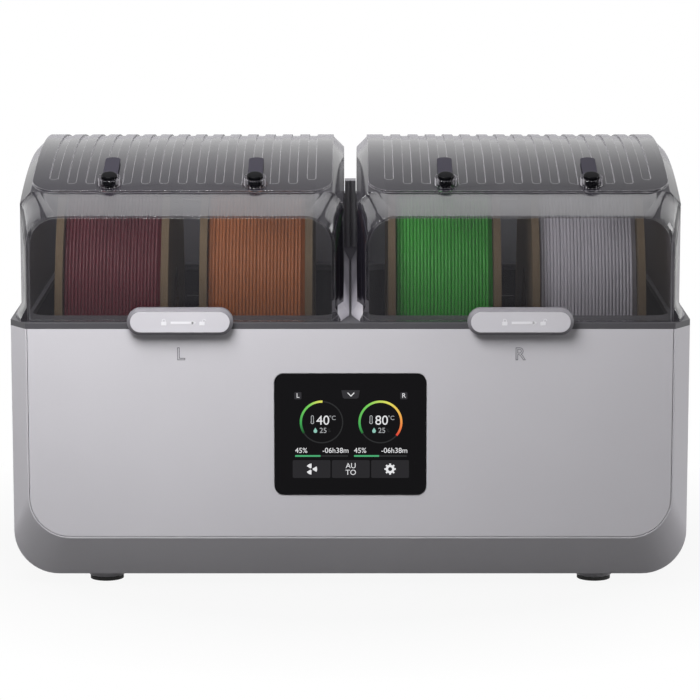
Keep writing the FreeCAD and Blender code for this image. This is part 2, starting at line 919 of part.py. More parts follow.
def make_rear_wall():
    body = new_body("rear_wall")
    half = body_width / 2
    radius = rear_wall_corner
    face = [
        (-half, body_top),
        (half, body_top),
        (half, rear_wall_top - radius, (radius, 1)),
        (half - radius, rear_wall_top),
        (radius - half, rear_wall_top, (radius, 1)),
        (-half, rear_wall_top - radius),
    ]
    pad(body, sketch_in(body, "XZ", -deck_rear, face), rear_wall_depth, reverse=True)
    hollow = rectangle(
        radius - half, deck_rear + rear_wall_skin, half - radius, rear - rear_wall_skin
    )
    pocket(
        body,
        sketch_in(body, "XY", body_top, hollow),
        rear_wall_height - rear_wall_skin,
        reverse=True,
    )
    rib = pillar_width / 4
    pillar_start = lid_bottom + flange_height + rear_wall_skin
    ridges = [
        (-2 * rib, deck_rear, (rib, 1)),
        (0, deck_rear, (rib, 1)),
        (2 * rib, deck_rear),
        (2 * rib, rear),
        (-2 * rib, rear),
    ]
    pad(
        body,
        sketch_in(body, "XY", pillar_start, ridges),
        body_top + pillar_height - pillar_start,
    )
    for x in hinge_places():
        post = [
            (hinge_y - knuckle_radius, rear_wall_top - rear_wall_skin),
            (hinge_y + knuckle_radius, rear_wall_top - rear_wall_skin),
            (hinge_y + knuckle_radius, hinge_z, (knuckle_radius, 1)),
            (hinge_y - knuckle_radius, hinge_z),
        ]
        bore = (hinge_y, hinge_z, pin_radius + pin_clearance)
        pad(body, sketch_in(body, "YZ", x, post, bore), knuckle_width, both=True)
    pins = []
    length = knuckle_width + 2 * (lug_gap + lug_width)
    for index, x in enumerate(hinge_places()):
        pin = rod(f"hinge_pin_{index + 1}", pin_radius, length, x - length / 2, hinge_y, hinge_z, along_x)
        pins.append(pin)
    group("hinge_pins", *pins)


def hinge_places():
    return [
        side * chamber_pitch / 2 + end * hinge_offset for side in sides.values() for end in (-1, 1)
    ]


# Bottom cover, screws and feet


def make_bottom():
    body = new_body("bottom_cover")
    pad(body, sketch_in(body, "XY", body_floor, cover_outline(0)), cover_thickness)
    for side in sides.values():
        first = side * chamber_pitch / 2 - (vent_count - 1) * vent_pitch / 2
        slot = sketch_in(
            body,
            "XY",
            body_floor,
            rectangle(
                first - vent_width / 2,
                spool_y - vent_length / 2,
                first + vent_width / 2,
                spool_y + vent_length / 2,
            ),
        )
        vent = pocket(body, slot, cover_thickness, reverse=True)
        repeat(body, vent, slot, "H_Axis", vent_pitch, vent_count)
    holes = [(x, y, screw_radius + screw_clearance) for x, y in cover_places]
    pocket(body, sketch_in(body, "XY", body_floor, *holes), cover_thickness, reverse=True)
    screws = []
    for index, (x, y) in enumerate(cover_places):
        head = rod(
            f"screw_head_{index + 1}",
            screw_head_radius,
            screw_head_height,
            x,
            y,
            body_floor - screw_head_height,
        )
        shank_length = shell_wall + screw_boss_height / 3
        shank = rod(f"screw_shank_{index + 1}", screw_radius, shank_length, x, y, body_floor)
        screws.append(fuse(f"cover_screw_{index + 1}", head, shank))
    group("cover_screws", *screws)
    cups, pads = [], []
    for column in (-1, 1):
        for row in (-1, 1):
            x, y = column * foot_spacing_x / 2, spool_y + row * foot_spacing_y / 2
            cup = doc.addObject("Part::Cone", "foot_cup")
            bind(cup, "Radius1", foot_bottom_radius)
            bind(cup, "Radius2", foot_top_radius)
            bind(cup, "Height", foot_height - foot_pad_height)
            place(cup, x, y, foot_pad_height)
            cups.append(cup)
            pads.append(rod("foot_pad", foot_pad_radius, foot_pad_height, x, y, 0))
    group("foot_cups", *cups)
    group("foot_pads", *pads)


# Tubs, floor grilles, heaters and fans


def make_chamber(name, x):
    tub = new_body(f"chamber_tub_{name}", x)
    half = chamber_width / 2
    outer = rounded(
        -half - tub_wall,
        chamber_front - tub_wall,
        half + tub_wall,
        chamber_rear + tub_wall,
        chamber_corner + tub_wall,
    )
    inner = rounded(-half, chamber_front, half, chamber_rear, chamber_corner)
    pad(tub, sketch_in(tub, "XY", tub_bottom, outer), tub_height)
    pocket(tub, sketch_in(tub, "XY", body_top, inner), tub_height - tub_wall)
    mouth = grille_outline(0)
    pocket(tub, sketch_in(tub, "XY", chamber_floor, mouth), tub_wall)

    grille = new_body(f"floor_grille_{name}", x)
    pad(grille, sketch_in(grille, "XY", tub_bottom, grille_outline(grille_gap)), tub_wall)
    first = -(grille_count - 1) * grille_pitch / 2
    reach = grille_depth / 2 - grille_border
    slot = sketch_in(
        grille,
        "XY",
        chamber_floor,
        rectangle(first - grille_slot / 2, spool_y - reach, first + grille_slot / 2, spool_y + reach),
    )
    repeat(
        grille, pocket(grille, slot, tub_wall), slot, "H_Axis", grille_pitch, grille_count
    )

    heater = new_body(f"heater_{name}", x)
    half, reach = heater_width / 2, heater_depth / 2
    block = rectangle(-half, spool_y - reach, half, spool_y + reach)
    pad(heater, sketch_in(heater, "XY", heater_bottom, block), heater_height)
    first = -(fin_count - 1) * fin_pitch / 2
    reach = reach - heater_frame
    slot = sketch_in(
        heater,
        "XY",
        tub_bottom,
        rectangle(first - fin_slot / 2, spool_y - reach, first + fin_slot / 2, spool_y + reach),
    )
    repeat(heater, pocket(heater, slot, heater_height), slot, "H_Axis", fin_pitch, fin_count)
    make_fan(name, x)


heater_bottom = tub_bottom - heater_height
fan_height = heater_bottom - floor_top


def grille_outline(margin):
    half, reach = grille_width / 2 - margin, grille_depth / 2 - margin
    return rectangle(-half, spool_y - reach, half, spool_y + reach)


def make_fan(name, x):
    frame = new_body(f"fan_frame_{name}", x, spool_y, floor_top)
    half = fan_side / 2
    square = rounded(-half, -half, half, half, fan_corner)
    pad(frame, sketch_in(frame, "XY", 0, square, (0, 0, fan_bore)), fan_height)
    for bar in (
        rectangle(-half, -fan_strut / 2, half, fan_strut / 2),
        rectangle(-fan_strut / 2, -half, fan_strut / 2, half),
    ):
        pad(frame, sketch_in(frame, "XY", 0, bar), fan_strut_height)
    pad(frame, sketch_in(frame, "XY", 0, (0, 0, motor_radius)), fan_strut_height)
    pad(frame, sketch_in(frame, "XY", 0, (0, 0, shaft_radius)), fan_height - fan_strut_height)

    fan = new_body(f"impeller_{name}", x, spool_y, floor_top + fan_strut_height + impeller_gap)
    rise = fan_height - 2 * fan_strut_height - impeller_gap
    hub = sketch_in(fan, "XY", 0, (0, 0, motor_radius), (0, 0, shaft_radius + shaft_clearance))
    pad(fan, hub, rise)
    chord = blade_chord / 2
    profile = [
        (-chord, 0),
        (blade_thickness - chord, 0),
        (chord, rise),
        (chord - blade_thickness, rise),
    ]
    root_start = motor_radius - blade_thickness
    root_sketch = sketch_in(fan, "YZ", root_start, profile)
    blade = pad(fan, root_sketch, impeller_radius - root_start)
    ring = fan.newObject("PartDesign::PolarPattern", f"{fan.Name}_blades")
    ring.Originals = [blade]
    ring.Axis = (hub, ["N_Axis"])
    ring.Angle = 360
    bind(ring, "Occurrences", blade_count)
    fan.Tip = ring


# Spools with their filament, and the rollers that carry them


def spool_places():
    return [
        side * chamber_pitch / 2 + end * spool_pitch / 2 for side in sides.values() for end in (-1, 1)
    ]


def spool_ring(name, outer, length, x):
    body = rod(f"{name}_disc", outer, length, x, spool_y, spool_level, along_x)
    hole = rod(f"{name}_hole", spool_bore, length, x, spool_y, spool_level, along_x)
    return cut(name, body, hole)


def make_spool(index, x, turns):
    half = spool_width / 2
    shoulder = half - spool_flange
    group(
        f"spool_{index}",
        spool_ring(f"spool_{index}_near", spool_radius, spool_flange, x - half),
        spool_ring(f"spool_{index}_hub", spool_hub, 2 * shoulder, x - shoulder),
        spool_ring(f"spool_{index}_far", spool_radius, spool_flange, x + shoulder),
    )
    core = new_body(f"filament_core_{index}", x, spool_y, spool_level)
    section = rectangle(
        filament_gap - shoulder,
        spool_hub + filament_gap,
        shoulder - filament_gap,
        filament_radius - filament_diameter - filament_gap,
    )
    revolve(core, sketch_in(core, "XY", 0, section), "H_Axis")
    winding = doc.addObject("Part::Feature", f"filament_turns_{index}")
    winding.Shape = turns
    place(winding, x, spool_y, spool_level)
    nodes.append(winding)


def biarc(start, start_way, end, end_way):
    chord = end - start
    ways = start_way + end_way
    spread = 2 - 2 * start_way.dot(end_way)
    lean = chord.dot(ways)
    reach = (math.sqrt(lean * lean + spread * chord.dot(chord)) - lean) / spread
    bend_in, bend_out = start + start_way * reach, end - end_way * reach
    join = (bend_in + bend_out) * 0.5
    return [arc_by_tangents(start, bend_in, join), arc_by_tangents(join, bend_out, end)]


def arc_by_tangents(start, bend, end):
    middle = (start + end) * 0.5
    rise = bend - middle
    half = (end - start).Length / 2
    sag = half * math.tan(math.atan2(rise.Length, half) / 2)
    return Part.Arc(start, middle + rise.normalize() * sag, end).toShape()


def filament_turns_shape():
    diameter = filament_diameter.value
    radius = filament_radius.value - diameter / 2
    turns = int(filament_turns.value)
    room = spool_width.value - 2 * spool_flange.value - 2 * filament_gap.value
    pitch = (room - diameter) / turns

    def at(angle):
        along = pitch * (angle / (2 * math.pi) - turns / 2)
        return Vector(along, -radius * math.cos(angle), radius * math.sin(angle))

    def way(angle):
        step = Vector(pitch / (2 * math.pi), radius * math.sin(angle), radius * math.cos(angle))
        return step.normalize()

    edges = []
    for half_turn in range(2 * turns):
        begin, end = half_turn * math.pi, (half_turn + 1) * math.pi
        edges += biarc(at(begin), way(begin), at(end), way(end))
    path = Part.Wire(edges)
    sides = int(filament_sides.value)
    outward = Vector(0, -diameter / 2, 0)
    corners = [
        at(0) + Rotation(way(0), 360 * corner / sides).multVec(outward) for corner in range(sides + 1)
    ]
    shell = Part.BRepOffsetAPI.MakePipeShell(path)
    shell.add(Part.makePolygon(corners))
    shell.build()
    shell.makeSolid()
    steps = 48
    points = [at(2 * math.pi * step / steps) for step in range(turns * steps + 1)]
    gaps = [
        (points[step + steps + slip] - points[step]).Length - diameter
        for step in range(0, (turns - 2) * steps)
        for slip in (-1, 0, 1)
    ]
    print(f"filament turns: {turns}, least gap to itself {min(gaps):.3f} mm")
    return shell.shape()


def make_roller(index, x, name, y):
    roller = new_body(f"roller_{index}_{name}", x, y, roller_z)
    half = roller_length / 2
    tyre = half - roller_tyre
    bore = axle_radius + axle_clearance
    section = [
        (-half, bore),
        (half, bore),
        (half, roller_radius),
        (tyre, roller_radius),
        (tyre, roller_waist),
        (-tyre, roller_waist),
        (-tyre, roller_radius),
        (-half, roller_radius),
    ]
    revolve(roller, sketch_in(roller, "XY", 0, section), "H_Axis")
    reach = half + bracket_gap + bracket_ear
    axle = rod(f"axle_{index}_{name}", axle_radius, 2 * reach, x - reach, y, roller_z, along_x)
    ear = reach - bracket_ear
    top = roller_z + bracket_margin
    foot = chamber_floor + bracket_foot
    channel = prism(
        f"channel_{index}_{name}",
        "XZ",
        -y - bracket_width / 2,
        bracket_width,
        [
            (x - reach, chamber_floor),
            (x + reach, chamber_floor),
            (x + reach, top),
            (x + ear, top),
            (x + ear, foot),
            (x - ear, foot),
            (x - ear, top),
            (x - reach, top),
        ],
    )
    hole = rod(
        f"ear_hole_{index}_{name}",
        axle_radius + axle_clearance,
        2 * roller_length,
        x - roller_length,
        y,
        roller_z,
        along_x,
    )
    return axle, cut(f"bracket_{index}_{name}", channel, hole)


# Lids: bevelled nose, arched shell, grooved visor, flared foot, hinge lugs and outlet ports

lid_half = lid_width / 2
visor_radius = arch_radius + visor_thickness
port_y = front + port_setback
port_z = arch_height(port_y, visor_radius)
port_lean = (port_y - crest_y) / visor_radius
port_rise = (port_z - arch_mid) / visor_radius
port_turn = Rotation(Vector(1, 0, 0), -math.degrees(math.asin(port_lean.value)))


def along_port(distance):
    return port_y + port_lean * distance, port_z + port_rise * distance


def arched(half, low, high, radius):
    return [
        (-half, low),
        (half, low),
        (half, high - radius, (radius, 1)),
        (half - radius, high),
        (radius - half, high, (radius, 1)),
        (-half, high - radius),
    ]


def bevelled_plan(half, near, far):
    return [
        (band_side - half, near),
        (half - band_side, near),
        (half, band_end),
        (half, far),
        (-half, far),
        (-half, band_end),
    ]


def chamfer_arch(name, block, radius, amount):
    doc.recompute()
    finish = doc.addObject("Part::Chamfer", name)
    finish.Base = block
    finish.Edges = [
        (index + 1, number(amount), number(amount))
        for index, edge in enumerate(block.Shape.Edges)
        if isinstance(edge.Curve, Part.Circle) and abs(edge.Curve.Radius - radius.value) < 0.01
    ]
    return finish


def lid_body(name, inset, low):
    near = lid_front + inset
    far = band_end + inset * 0.6
    radius = arch_radius - inset
    back = lid_rear - inset
    nose = ruled(
        f"{name}_nose",
        outline(
            f"{name}_window",
            "XZ",
            -near,
            arched(
                lid_half - band_side - inset * 0.6,
                low,
                lid_bottom + window_rise - inset * 0.6,
                window_corner - inset * 0.6,
            ),
        ),
        outline(
            f"{name}_shoulder",
            "XZ",
            -far,
            arched(lid_half - inset, low, arch_height(far, radius), band_corner - inset * 0.6),
        ),
    )
    profile = [
        (far, low),
        (back, low),
        (back, arch_height(back, radius), (radius, 1)),
        (far, arch_height(far, radius)),
    ]
    block = prism(f"{name}_block", "YZ", 0, 2 * (lid_half - inset), profile, both=True)
    return nose, chamfer_arch(f"{name}_edges", block, radius, arch_chamfer - inset * 0.4)


def arch_band(name, low, high, near, far, half):
    profile = [
        (near, arch_height(near, low)),
        (near, arch_height(near, high), (high, -1)),
        (far, arch_height(far, high)),
        (far, arch_height(far, low), (low, 1)),
    ]
    return prism(name, "YZ", 0, 2 * half, profile, both=True)


def make_visor(name):
    half = lid_half - arch_chamfer
    near = band_end - visor_overhang
    plan = [
        (visor_corner - half, near),
        (half - visor_corner, near, (visor_corner, 1)),
        (half, near + visor_corner),
        (half, lid_rear),
        (-half, lid_rear),
        (-half, near + visor_corner, (visor_corner, 1)),
    ]
    sheet_height = crest_z + 2 * visor_thickness - lid_bottom
    layer = common(
        f"{name}_visor_layer",
        arch_band(f"{name}_visor_band", arch_radius, visor_radius, near, lid_rear, half),
        prism(f"{name}_visor_plan", "XY", lid_bottom, sheet_height, plan),
    )
    slots = []
    last = int(groove_count.value) - 1
    for index in range(last + 1):
        x = (index - last / 2) * groove_pitch
        start = near + groove_setback
        if index in (0, last):
            start = start + groove_pitch / 2
        radius = groove_width / 2
        slots.append(
            [
                (x - radius, start + radius, (radius, 1)),
                (x + radius, start + radius),
                (x + radius, rear),
                (x - radius, rear),
            ]
        )
    floor = visor_radius - groove_depth
    grooves = common(
        f"{name}_grooves",
        prism(f"{name}_groove_plan", "XY", lid_bottom, sheet_height, *slots),
        arch_band(f"{name}_groove_band", floor, floor + lid_wall, near, rear, half),
    )
    return cut(f"{name}_visor", layer, grooves)


def make_flange(name):
    foot = lid_half + flange_flare
    near = lid_front - flange_front
    edge_plan = bevelled_plan(foot, near, lid_rear)
    edge = prism(f"{name}_foot", "XY", lid_bottom, flange_edge, edge_plan)
    flare = ruled(
        f"{name}_flare",
        outline(f"{name}_flare_low", "XY", lid_bottom + flange_edge, edge_plan),
        outline(
            f"{name}_flare_high",
            "XY",
            lid_bottom + flange_height,
            bevelled_plan(lid_half, lid_front, lid_rear),
        ),
    )
    return edge, flare


def make_lugs(name):
    profile = [
        (lid_rear - lid_wall, hinge_z - lug_radius),
        (hinge_y, hinge_z - lug_radius, (lug_radius, 1)),
        (hinge_y, hinge_z + lug_radius),
        (lid_rear - lid_wall, hinge_z + lug_radius),
    ]
    reach = (knuckle_width + lug_width) / 2 + lug_gap
    lugs = []
    for end in (-1, 1):
        for step in (-1, 1):
            x = end * hinge_offset + step * reach - lug_width / 2
            lugs.append(prism(f"{name}_lug", "YZ", x, lug_width, profile))
    return lugs


def make_lid(side, x):
    name = f"lid_{side}"
    outer = [*lid_body(f"{name}_outer", 0, lid_bottom), make_visor(name)]
    outer += [*make_flange(name), *make_lugs(name)]
    voids = list(lid_body(f"{name}_inner", lid_wall, sill))
    half = lid_half - lid_wall
    voids.append(
        box(
            f"{name}_rear_opening",
            2 * half,
            2 * rear_wall_depth,
            lid_bottom + rear_opening_rise - sill,
            -half,
            lid_rear - 2 * lid_wall,
            sill,
        )
    )
    catch = tongue_width / 2 + tongue_clearance
    low = body_top + tongue_rise - tongue_clearance
    high = body_top + tongue_rise + tongue_height + tongue_clearance
    hook = [
        (-catch, sill),
        (catch, sill),
        (catch, high),
        (-catch - latch_travel, high),
        (-catch - latch_travel, low),
        (-catch, low),
    ]
    voids.append(prism(f"{name}_catch", "XZ", -front - lid_inset * 2 - lid_wall, lid_inset * 2, hook))
    voids.append(
        rod(
            f"{name}_hinge_bore",
            pin_radius + pin_clearance,
            lid_width,
            -lid_half,
            hinge_y,
            hinge_z,
            along_x,
        )
    )
    for end in (-1, 1):
        port = end * spool_pitch / 2
        outer.append(
            rod(
                f"{name}_boss",
                boss_radius,
                boss_depth + boss_height,
                port,
                *along_port(-boss_depth),
                port_turn,
            )
        )
        voids.append(
            rod(f"{name}_boss_bore", boss_bore, boss_height, port, *along_port(boss_floor), port_turn)
        )
        voids.append(
            rod(f"{name}_port", port_bore, 4 * boss_depth, port, *along_port(-2 * boss_depth), port_turn)
        )
        width = strap_width + 2 * plug_clearance
        slot = box(
            f"{name}_strap_slot",
            width,
            boss_radius * 2,
            boss_height,
            port - width / 2,
            *along_port(boss_floor),
        )
        place(slot, port - width / 2, *along_port(boss_floor), port_turn)
        voids.append(slot)
    node(cut(name, fuse(f"{name}_solid", *outer), *voids), x)


def make_plug(index, x):
    name = f"outlet_plug_{index}"
    seat = boss_floor + plug_clearance
    head = rod(
        f"{name}_head", boss_bore - plug_clearance, plug_head_height, 0, *along_port(seat), port_turn
    )
    doc.recompute()
    top = max(range(len(head.Shape.Edges)), key=lambda i: head.Shape.Edges[i].CenterOfMass.z)
    rounded_head = doc.addObject("Part::Fillet", f"{name}_rounded_head")
    rounded_head.Base = head
    rounded_head.Edges = [(top + 1, plug_head_round.value, plug_head_round.value)]
    stem = rod(
        f"{name}_stem",
        port_bore - plug_clearance,
        plug_stem_length + 2 * seat,
        0,
        *along_port(-plug_stem_length),
        port_turn,
    )
    half = strap_width / 2
    far = port_y + strap_length
    low = visor_radius + 2 * plug_clearance
    band = arch_band(f"{name}_band", low, low + strap_thickness, port_y, far, half)
    plan = [
        (-half, port_y),
        (half, port_y),
        (half, far - half, (half, 1)),
        (-half, far - half),
    ]
    outline_height = crest_z + 2 * boss_height - lid_bottom
    strap = common(
        f"{name}_strap",
        band,
        prism(f"{name}_strap_plan", "XY", lid_bottom, outline_height, plan),
    )
    node(fuse(name, rounded_head, stem, strap), x)


def make_latch(side, x):
    latch = new_body(f"latch_slider_{side}", x)
    half, rise = latch_width / 2, latch_height / 2
    level = body_top + latch_rise
    face = front - latch_gap - latch_thickness
    pill = pad(
        latch,
        sketch_in(latch, "XZ", -face, stadium(-half, level - rise, half, level + rise)),
        latch_thickness,
        reverse=True,
    )
    soften(latch, "Chamfer", pill, latch_bevel, lambda edge: in_plane(edge, "Y", face))
    stem_top = body_top - latch_gap
    stem = rectangle(-stem_width / 2, stem_top - stem_height, stem_width / 2, stem_top)
    stem_reach = 2 * latch_gap + panel_thickness + foot_plate_thickness
    pad(latch, sketch_in(latch, "XZ", latch_gap - front, stem), stem_reach, reverse=True)
    plate_front = front + panel_thickness + latch_gap
    half = foot_plate_width / 2
    plate = rectangle(-half, stem_top - foot_plate_height, half, stem_top)
    pad(latch, sketch_in(latch, "XZ", -plate_front, plate), foot_plate_thickness, reverse=True)
    tongue = rectangle(
        -tongue_width / 2,
        body_top + tongue_rise,
        tongue_width / 2,
        body_top + tongue_rise + tongue_height,
    )
    tongue_reach = latch_gap + lid_inset + lid_wall
    pad(latch, sketch_in(latch, "XZ", latch_gap - front, tongue), tongue_reach, reverse=True)


# Power board, inlet, switch and humidity sensors


def make_power():
    board_back = rear - shell_wall - standoff_length
    board = new_body("power_board")
    plate = rectangle(
        -power_width / 2,
        power_level - power_height / 2,
        power_width / 2,
        power_level + power_height / 2,
    )
    pad(board, sketch_in(board, "XZ", -board_back, plate), board_thickness)
    blocks = [
        rectangle(
            column * power_width / 4 - chip_size,
            power_level - chip_size / 2 * (2 + column),
            column * power_width / 4 + chip_size / 2,
            power_level + chip_size,
        )
        for column in (-1, 0, 1)
    ]
    pad(board, sketch_in(board, "XZ", -board_back, *blocks), power_part_height, reverse=True)

    inlet = new_body("power_inlet", inlet_offset, 0, inlet_level)
    half, rise = inlet_width / 2, inlet_height / 2
    rim = rectangle(-half - inlet_rim, -rise - inlet_rim, half + inlet_rim, rise + inlet_rim)
    pad(inlet, sketch_in(inlet, "XZ", -rear, rim), inlet_flange, reverse=True)
    pad(inlet, sketch_in(inlet, "XZ", -rear, rectangle(-half, -rise, half, rise)), inlet_depth)
    hollow = rectangle(inlet_wall - half, inlet_wall - rise, half - inlet_wall, rise - inlet_wall)
    pocket(
        inlet,
        sketch_in(inlet, "XZ", -rear - inlet_flange, hollow),
        inlet_flange + inlet_depth - inlet_wall,
        reverse=True,
    )
    pins = [
        rectangle(
            column * inlet_pin_pitch - inlet_pin_width / 2,
            row * inlet_pin_height / 2 - inlet_pin_height / 2,
            column * inlet_pin_pitch + inlet_pin_width / 2,
            row * inlet_pin_height / 2 + inlet_pin_height / 2,
        )
        for column, row in ((-1, -1), (0, 1), (1, -1))
    ]
    pin_start = rear - inlet_depth + inlet_wall
    pad(inlet, sketch_in(inlet, "XZ", -pin_start, *pins), inlet_depth - 3 * inlet_wall, reverse=True)

    housing = new_body("switch_housing", switch_offset, 0, inlet_level)
    half, rise = switch_width / 2, switch_height / 2
    case = rectangle(-half - switch_wall, -rise - switch_wall, half + switch_wall, rise + switch_wall)
    well = rectangle(-half, -rise, half, rise)
    rim_half, rim_rise = half + 2 * switch_wall, rise + 2 * switch_wall
    rim = rectangle(-rim_half, -rim_rise, rim_half, rim_rise)
    pad(housing, sketch_in(housing, "XZ", -rear, rim), switch_wall, reverse=True)
    pad(housing, sketch_in(housing, "XZ", -rear, case), switch_depth)
    pocket(
        housing,
        sketch_in(housing, "XZ", -rear - switch_wall, well),
        switch_depth,
        reverse=True,
    )
    pivot = sketch_in(housing, "YZ", 0, (rocker_y, 0, rocker_pin_radius))
    pad(housing, pivot, switch_width + switch_wall, both=True)

    tilt = Rotation(Vector(1, 0, 0), -rocker_tilt.value)
    rocker = new_body("switch_rocker", switch_offset, rocker_y, inlet_level, tilt)
    rise = rocker_height / 2
    front_reach = rocker_radius - switch_wall
    back_reach = switch_depth - rocker_radius - 2 * rocker_gap
    section = [
        (-back_reach, -rise / 2),
        (front_reach, -rise),
        (front_reach - switch_wall, 0),
        (front_reach, rise),
        (-back_reach, rise / 2),
    ]
    bore = (0, 0, rocker_pin_radius + pin_clearance)
    pad(
        rocker,
        sketch_in(rocker, "YZ", 0, section, bore),
        switch_width - 2 * rocker_gap,
        both=True,
    )


rocker_y = rear + switch_wall - rocker_radius
rocker_height = switch_height - 6 * rocker_gap


def make_sensors():
    sensors = [
        box(
            f"humidity_sensor_{name}",
            sensor_width,
            sensor_thickness,
            sensor_height,
            side * chamber_pitch / 2 - sensor_width / 2,
            chamber_rear - sensor_thickness,
            sensor_level - sensor_height / 2,
        )
        for name, side in sides.items()
    ]
    group("humidity_sensors", *sensors)


# The whole dryer

make_base_shell()
make_front_panel()
make_screen()
make_deck()
make_rear_wall()
make_bottom()
make_power()
make_sensors()
for side, sign in sides.items():
    make_chamber(side, sign * chamber_pitch / 2)
    make_lid(side, sign * chamber_pitch / 2)
    make_latch(side, sign * chamber_pitch / 2)
turns = filament_turns_shape()
axles, brackets = [], []
for index, x in enumerate(spool_places(), 1):
    make_spool(index, x, turns)
    make_plug(index, x)
    for name, way in (("front", -1), ("rear", 1)):
        axle, bracket = make_roller(index, x, name, spool_y + way * roller_spread)
        axles.append(axle)
        brackets.append(bracket)
group("roller_axles", *axles)
group("roller_brackets", *brackets)
doc.recompute()

# Every object is sound before any file is written

for item in doc.Objects:
    if any(state in ("Invalid", "Error") for state in item.State):
        raise RuntimeError(f"{item.Label} failed: {item.State}")
for item in nodes:
    if item.Shape.isNull() or not item.Shape.isValid():
        raise RuntimeError(f"{item.Label} has no sound shape")
os.makedirs("parts", exist_ok=True)
for item in nodes:
    item.Shape.exportStep(f"parts/{item.Label}.step")
print(f"{len(nodes)} pieces written")
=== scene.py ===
import bpy
import bmesh
import math
import random
from mathutils import Matrix, Vector


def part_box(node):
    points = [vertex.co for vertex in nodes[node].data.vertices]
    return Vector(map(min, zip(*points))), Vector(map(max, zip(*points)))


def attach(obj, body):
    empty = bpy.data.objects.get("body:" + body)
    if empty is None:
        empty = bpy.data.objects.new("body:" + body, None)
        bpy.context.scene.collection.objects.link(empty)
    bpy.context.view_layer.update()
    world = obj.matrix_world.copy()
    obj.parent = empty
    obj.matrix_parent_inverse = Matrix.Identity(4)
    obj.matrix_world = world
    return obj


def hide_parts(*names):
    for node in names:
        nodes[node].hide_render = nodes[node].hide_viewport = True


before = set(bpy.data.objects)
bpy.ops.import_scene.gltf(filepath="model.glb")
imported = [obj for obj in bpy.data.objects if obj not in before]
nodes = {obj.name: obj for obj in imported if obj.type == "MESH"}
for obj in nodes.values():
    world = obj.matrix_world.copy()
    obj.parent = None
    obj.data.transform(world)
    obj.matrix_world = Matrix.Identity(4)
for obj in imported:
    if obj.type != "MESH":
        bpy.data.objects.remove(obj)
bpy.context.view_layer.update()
scene = bpy.context.scene
scene.view_settings.view_transform = "Standard"
print("dryer frame:", len(nodes), "nodes")


# a socket that takes sums, and makes every other node
class Wire:
    def __init__(self, tree, socket=None):
        self.tree = tree
        self.socket = socket

    def make(self, kind, settings=None, inputs=None, output=0):
        node = self.tree.nodes.new("ShaderNode" + kind)
        for key, value in (settings or {}).items():
            if key == "stops":
                fillRamp(node.color_ramp, value)
            else:
                setattr(node, key, value)
        for key, value in (inputs or {}).items():
            if isinstance(value, Wire):
                self.tree.links.new(value.socket, node.inputs[key])
            else:
                node.inputs[key].default_value = value
        return Wire(self.tree, node.outputs[output] if len(node.outputs) else None)

    def calc(self, operation, first, second=0.0):
        return self.make("Math", {"operation": operation}, {0: first, 1: second})

    def blend(self, factor, first, second):
        return self.make("Mix", {"data_type": "RGBA"}, {0: factor, 6: first, 7: second}, 2)

    def __add__(self, other):
        return self.calc("ADD", self, other)

    def __radd__(self, other):
        return self.calc("ADD", other, self)

    def __sub__(self, other):
        return self.calc("SUBTRACT", self, other)

    def __rsub__(self, other):
        return self.calc("SUBTRACT", other, self)

    def __mul__(self, other):
        return self.calc("MULTIPLY", self, other)

    def __rmul__(self, other):
        return self.calc("MULTIPLY", other, self)

    def __truediv__(self, other):
        return self.calc("DIVIDE", self, other)

    def __rtruediv__(self, other):
        return self.calc("DIVIDE", other, self)

    def __pow__(self, other):
        return self.calc("POWER", self, other)

    def __rpow__(self, other):
        return self.calc("POWER", other, self)


def fillRamp(ramp, stops):
    while len(ramp.elements) < len(stops):
        ramp.elements.new(1.0)
    for element, (place, colour) in zip(ramp.elements, stops):
        element.position = place
        element.color = colour


def rgb(red, green, blue):  # screen values 0-255 to the light they stand for
    def light(value):
        value = value / 255
        return value / 12.92 if value <= 0.04045 else ((value + 0.055) / 1.055) ** 2.4

    return (light(red), light(green), light(blue), 1.0)


def startFinish(name):
    finish = bpy.data.materials.new(name)
    finish.use_nodes = True
    finish.node_tree.nodes.clear()
    return finish, Wire(finish.node_tree)


def apart(wire, vector):
    split = wire.make("SeparateXYZ", None, {0: vector}).socket.node
    return [Wire(wire.tree, output) for output in split.outputs]


def clamped(wire, value, low, high):  # 0 at low, 1 at high
    return wire.make("MapRange", {"clamp": True}, {0: value, 1: low, 2: high})


def endFinish(wire, surface):
    wire.make("OutputMaterial", None, {"Surface": surface})


# moulded plastic, paint, rubber, metal and card share one recipe, and each look adds its own values
mouldedBase = {"grainDetail": 4.0, "grainRough": 0.62, "drift": 14.0, "driftDetail": 2.0, "fleckFrom": 0.58,
               "fleckAmount": 0.5, "roughSpread": 0.12, "rimFrom": 0.88, "rimSlope": 14.0, "edge": 0.0004,
               "edgeSamples": 4, "bump": 0.2, "depth": 0.0002, "metal": 0.0, "gloss": 0.5}


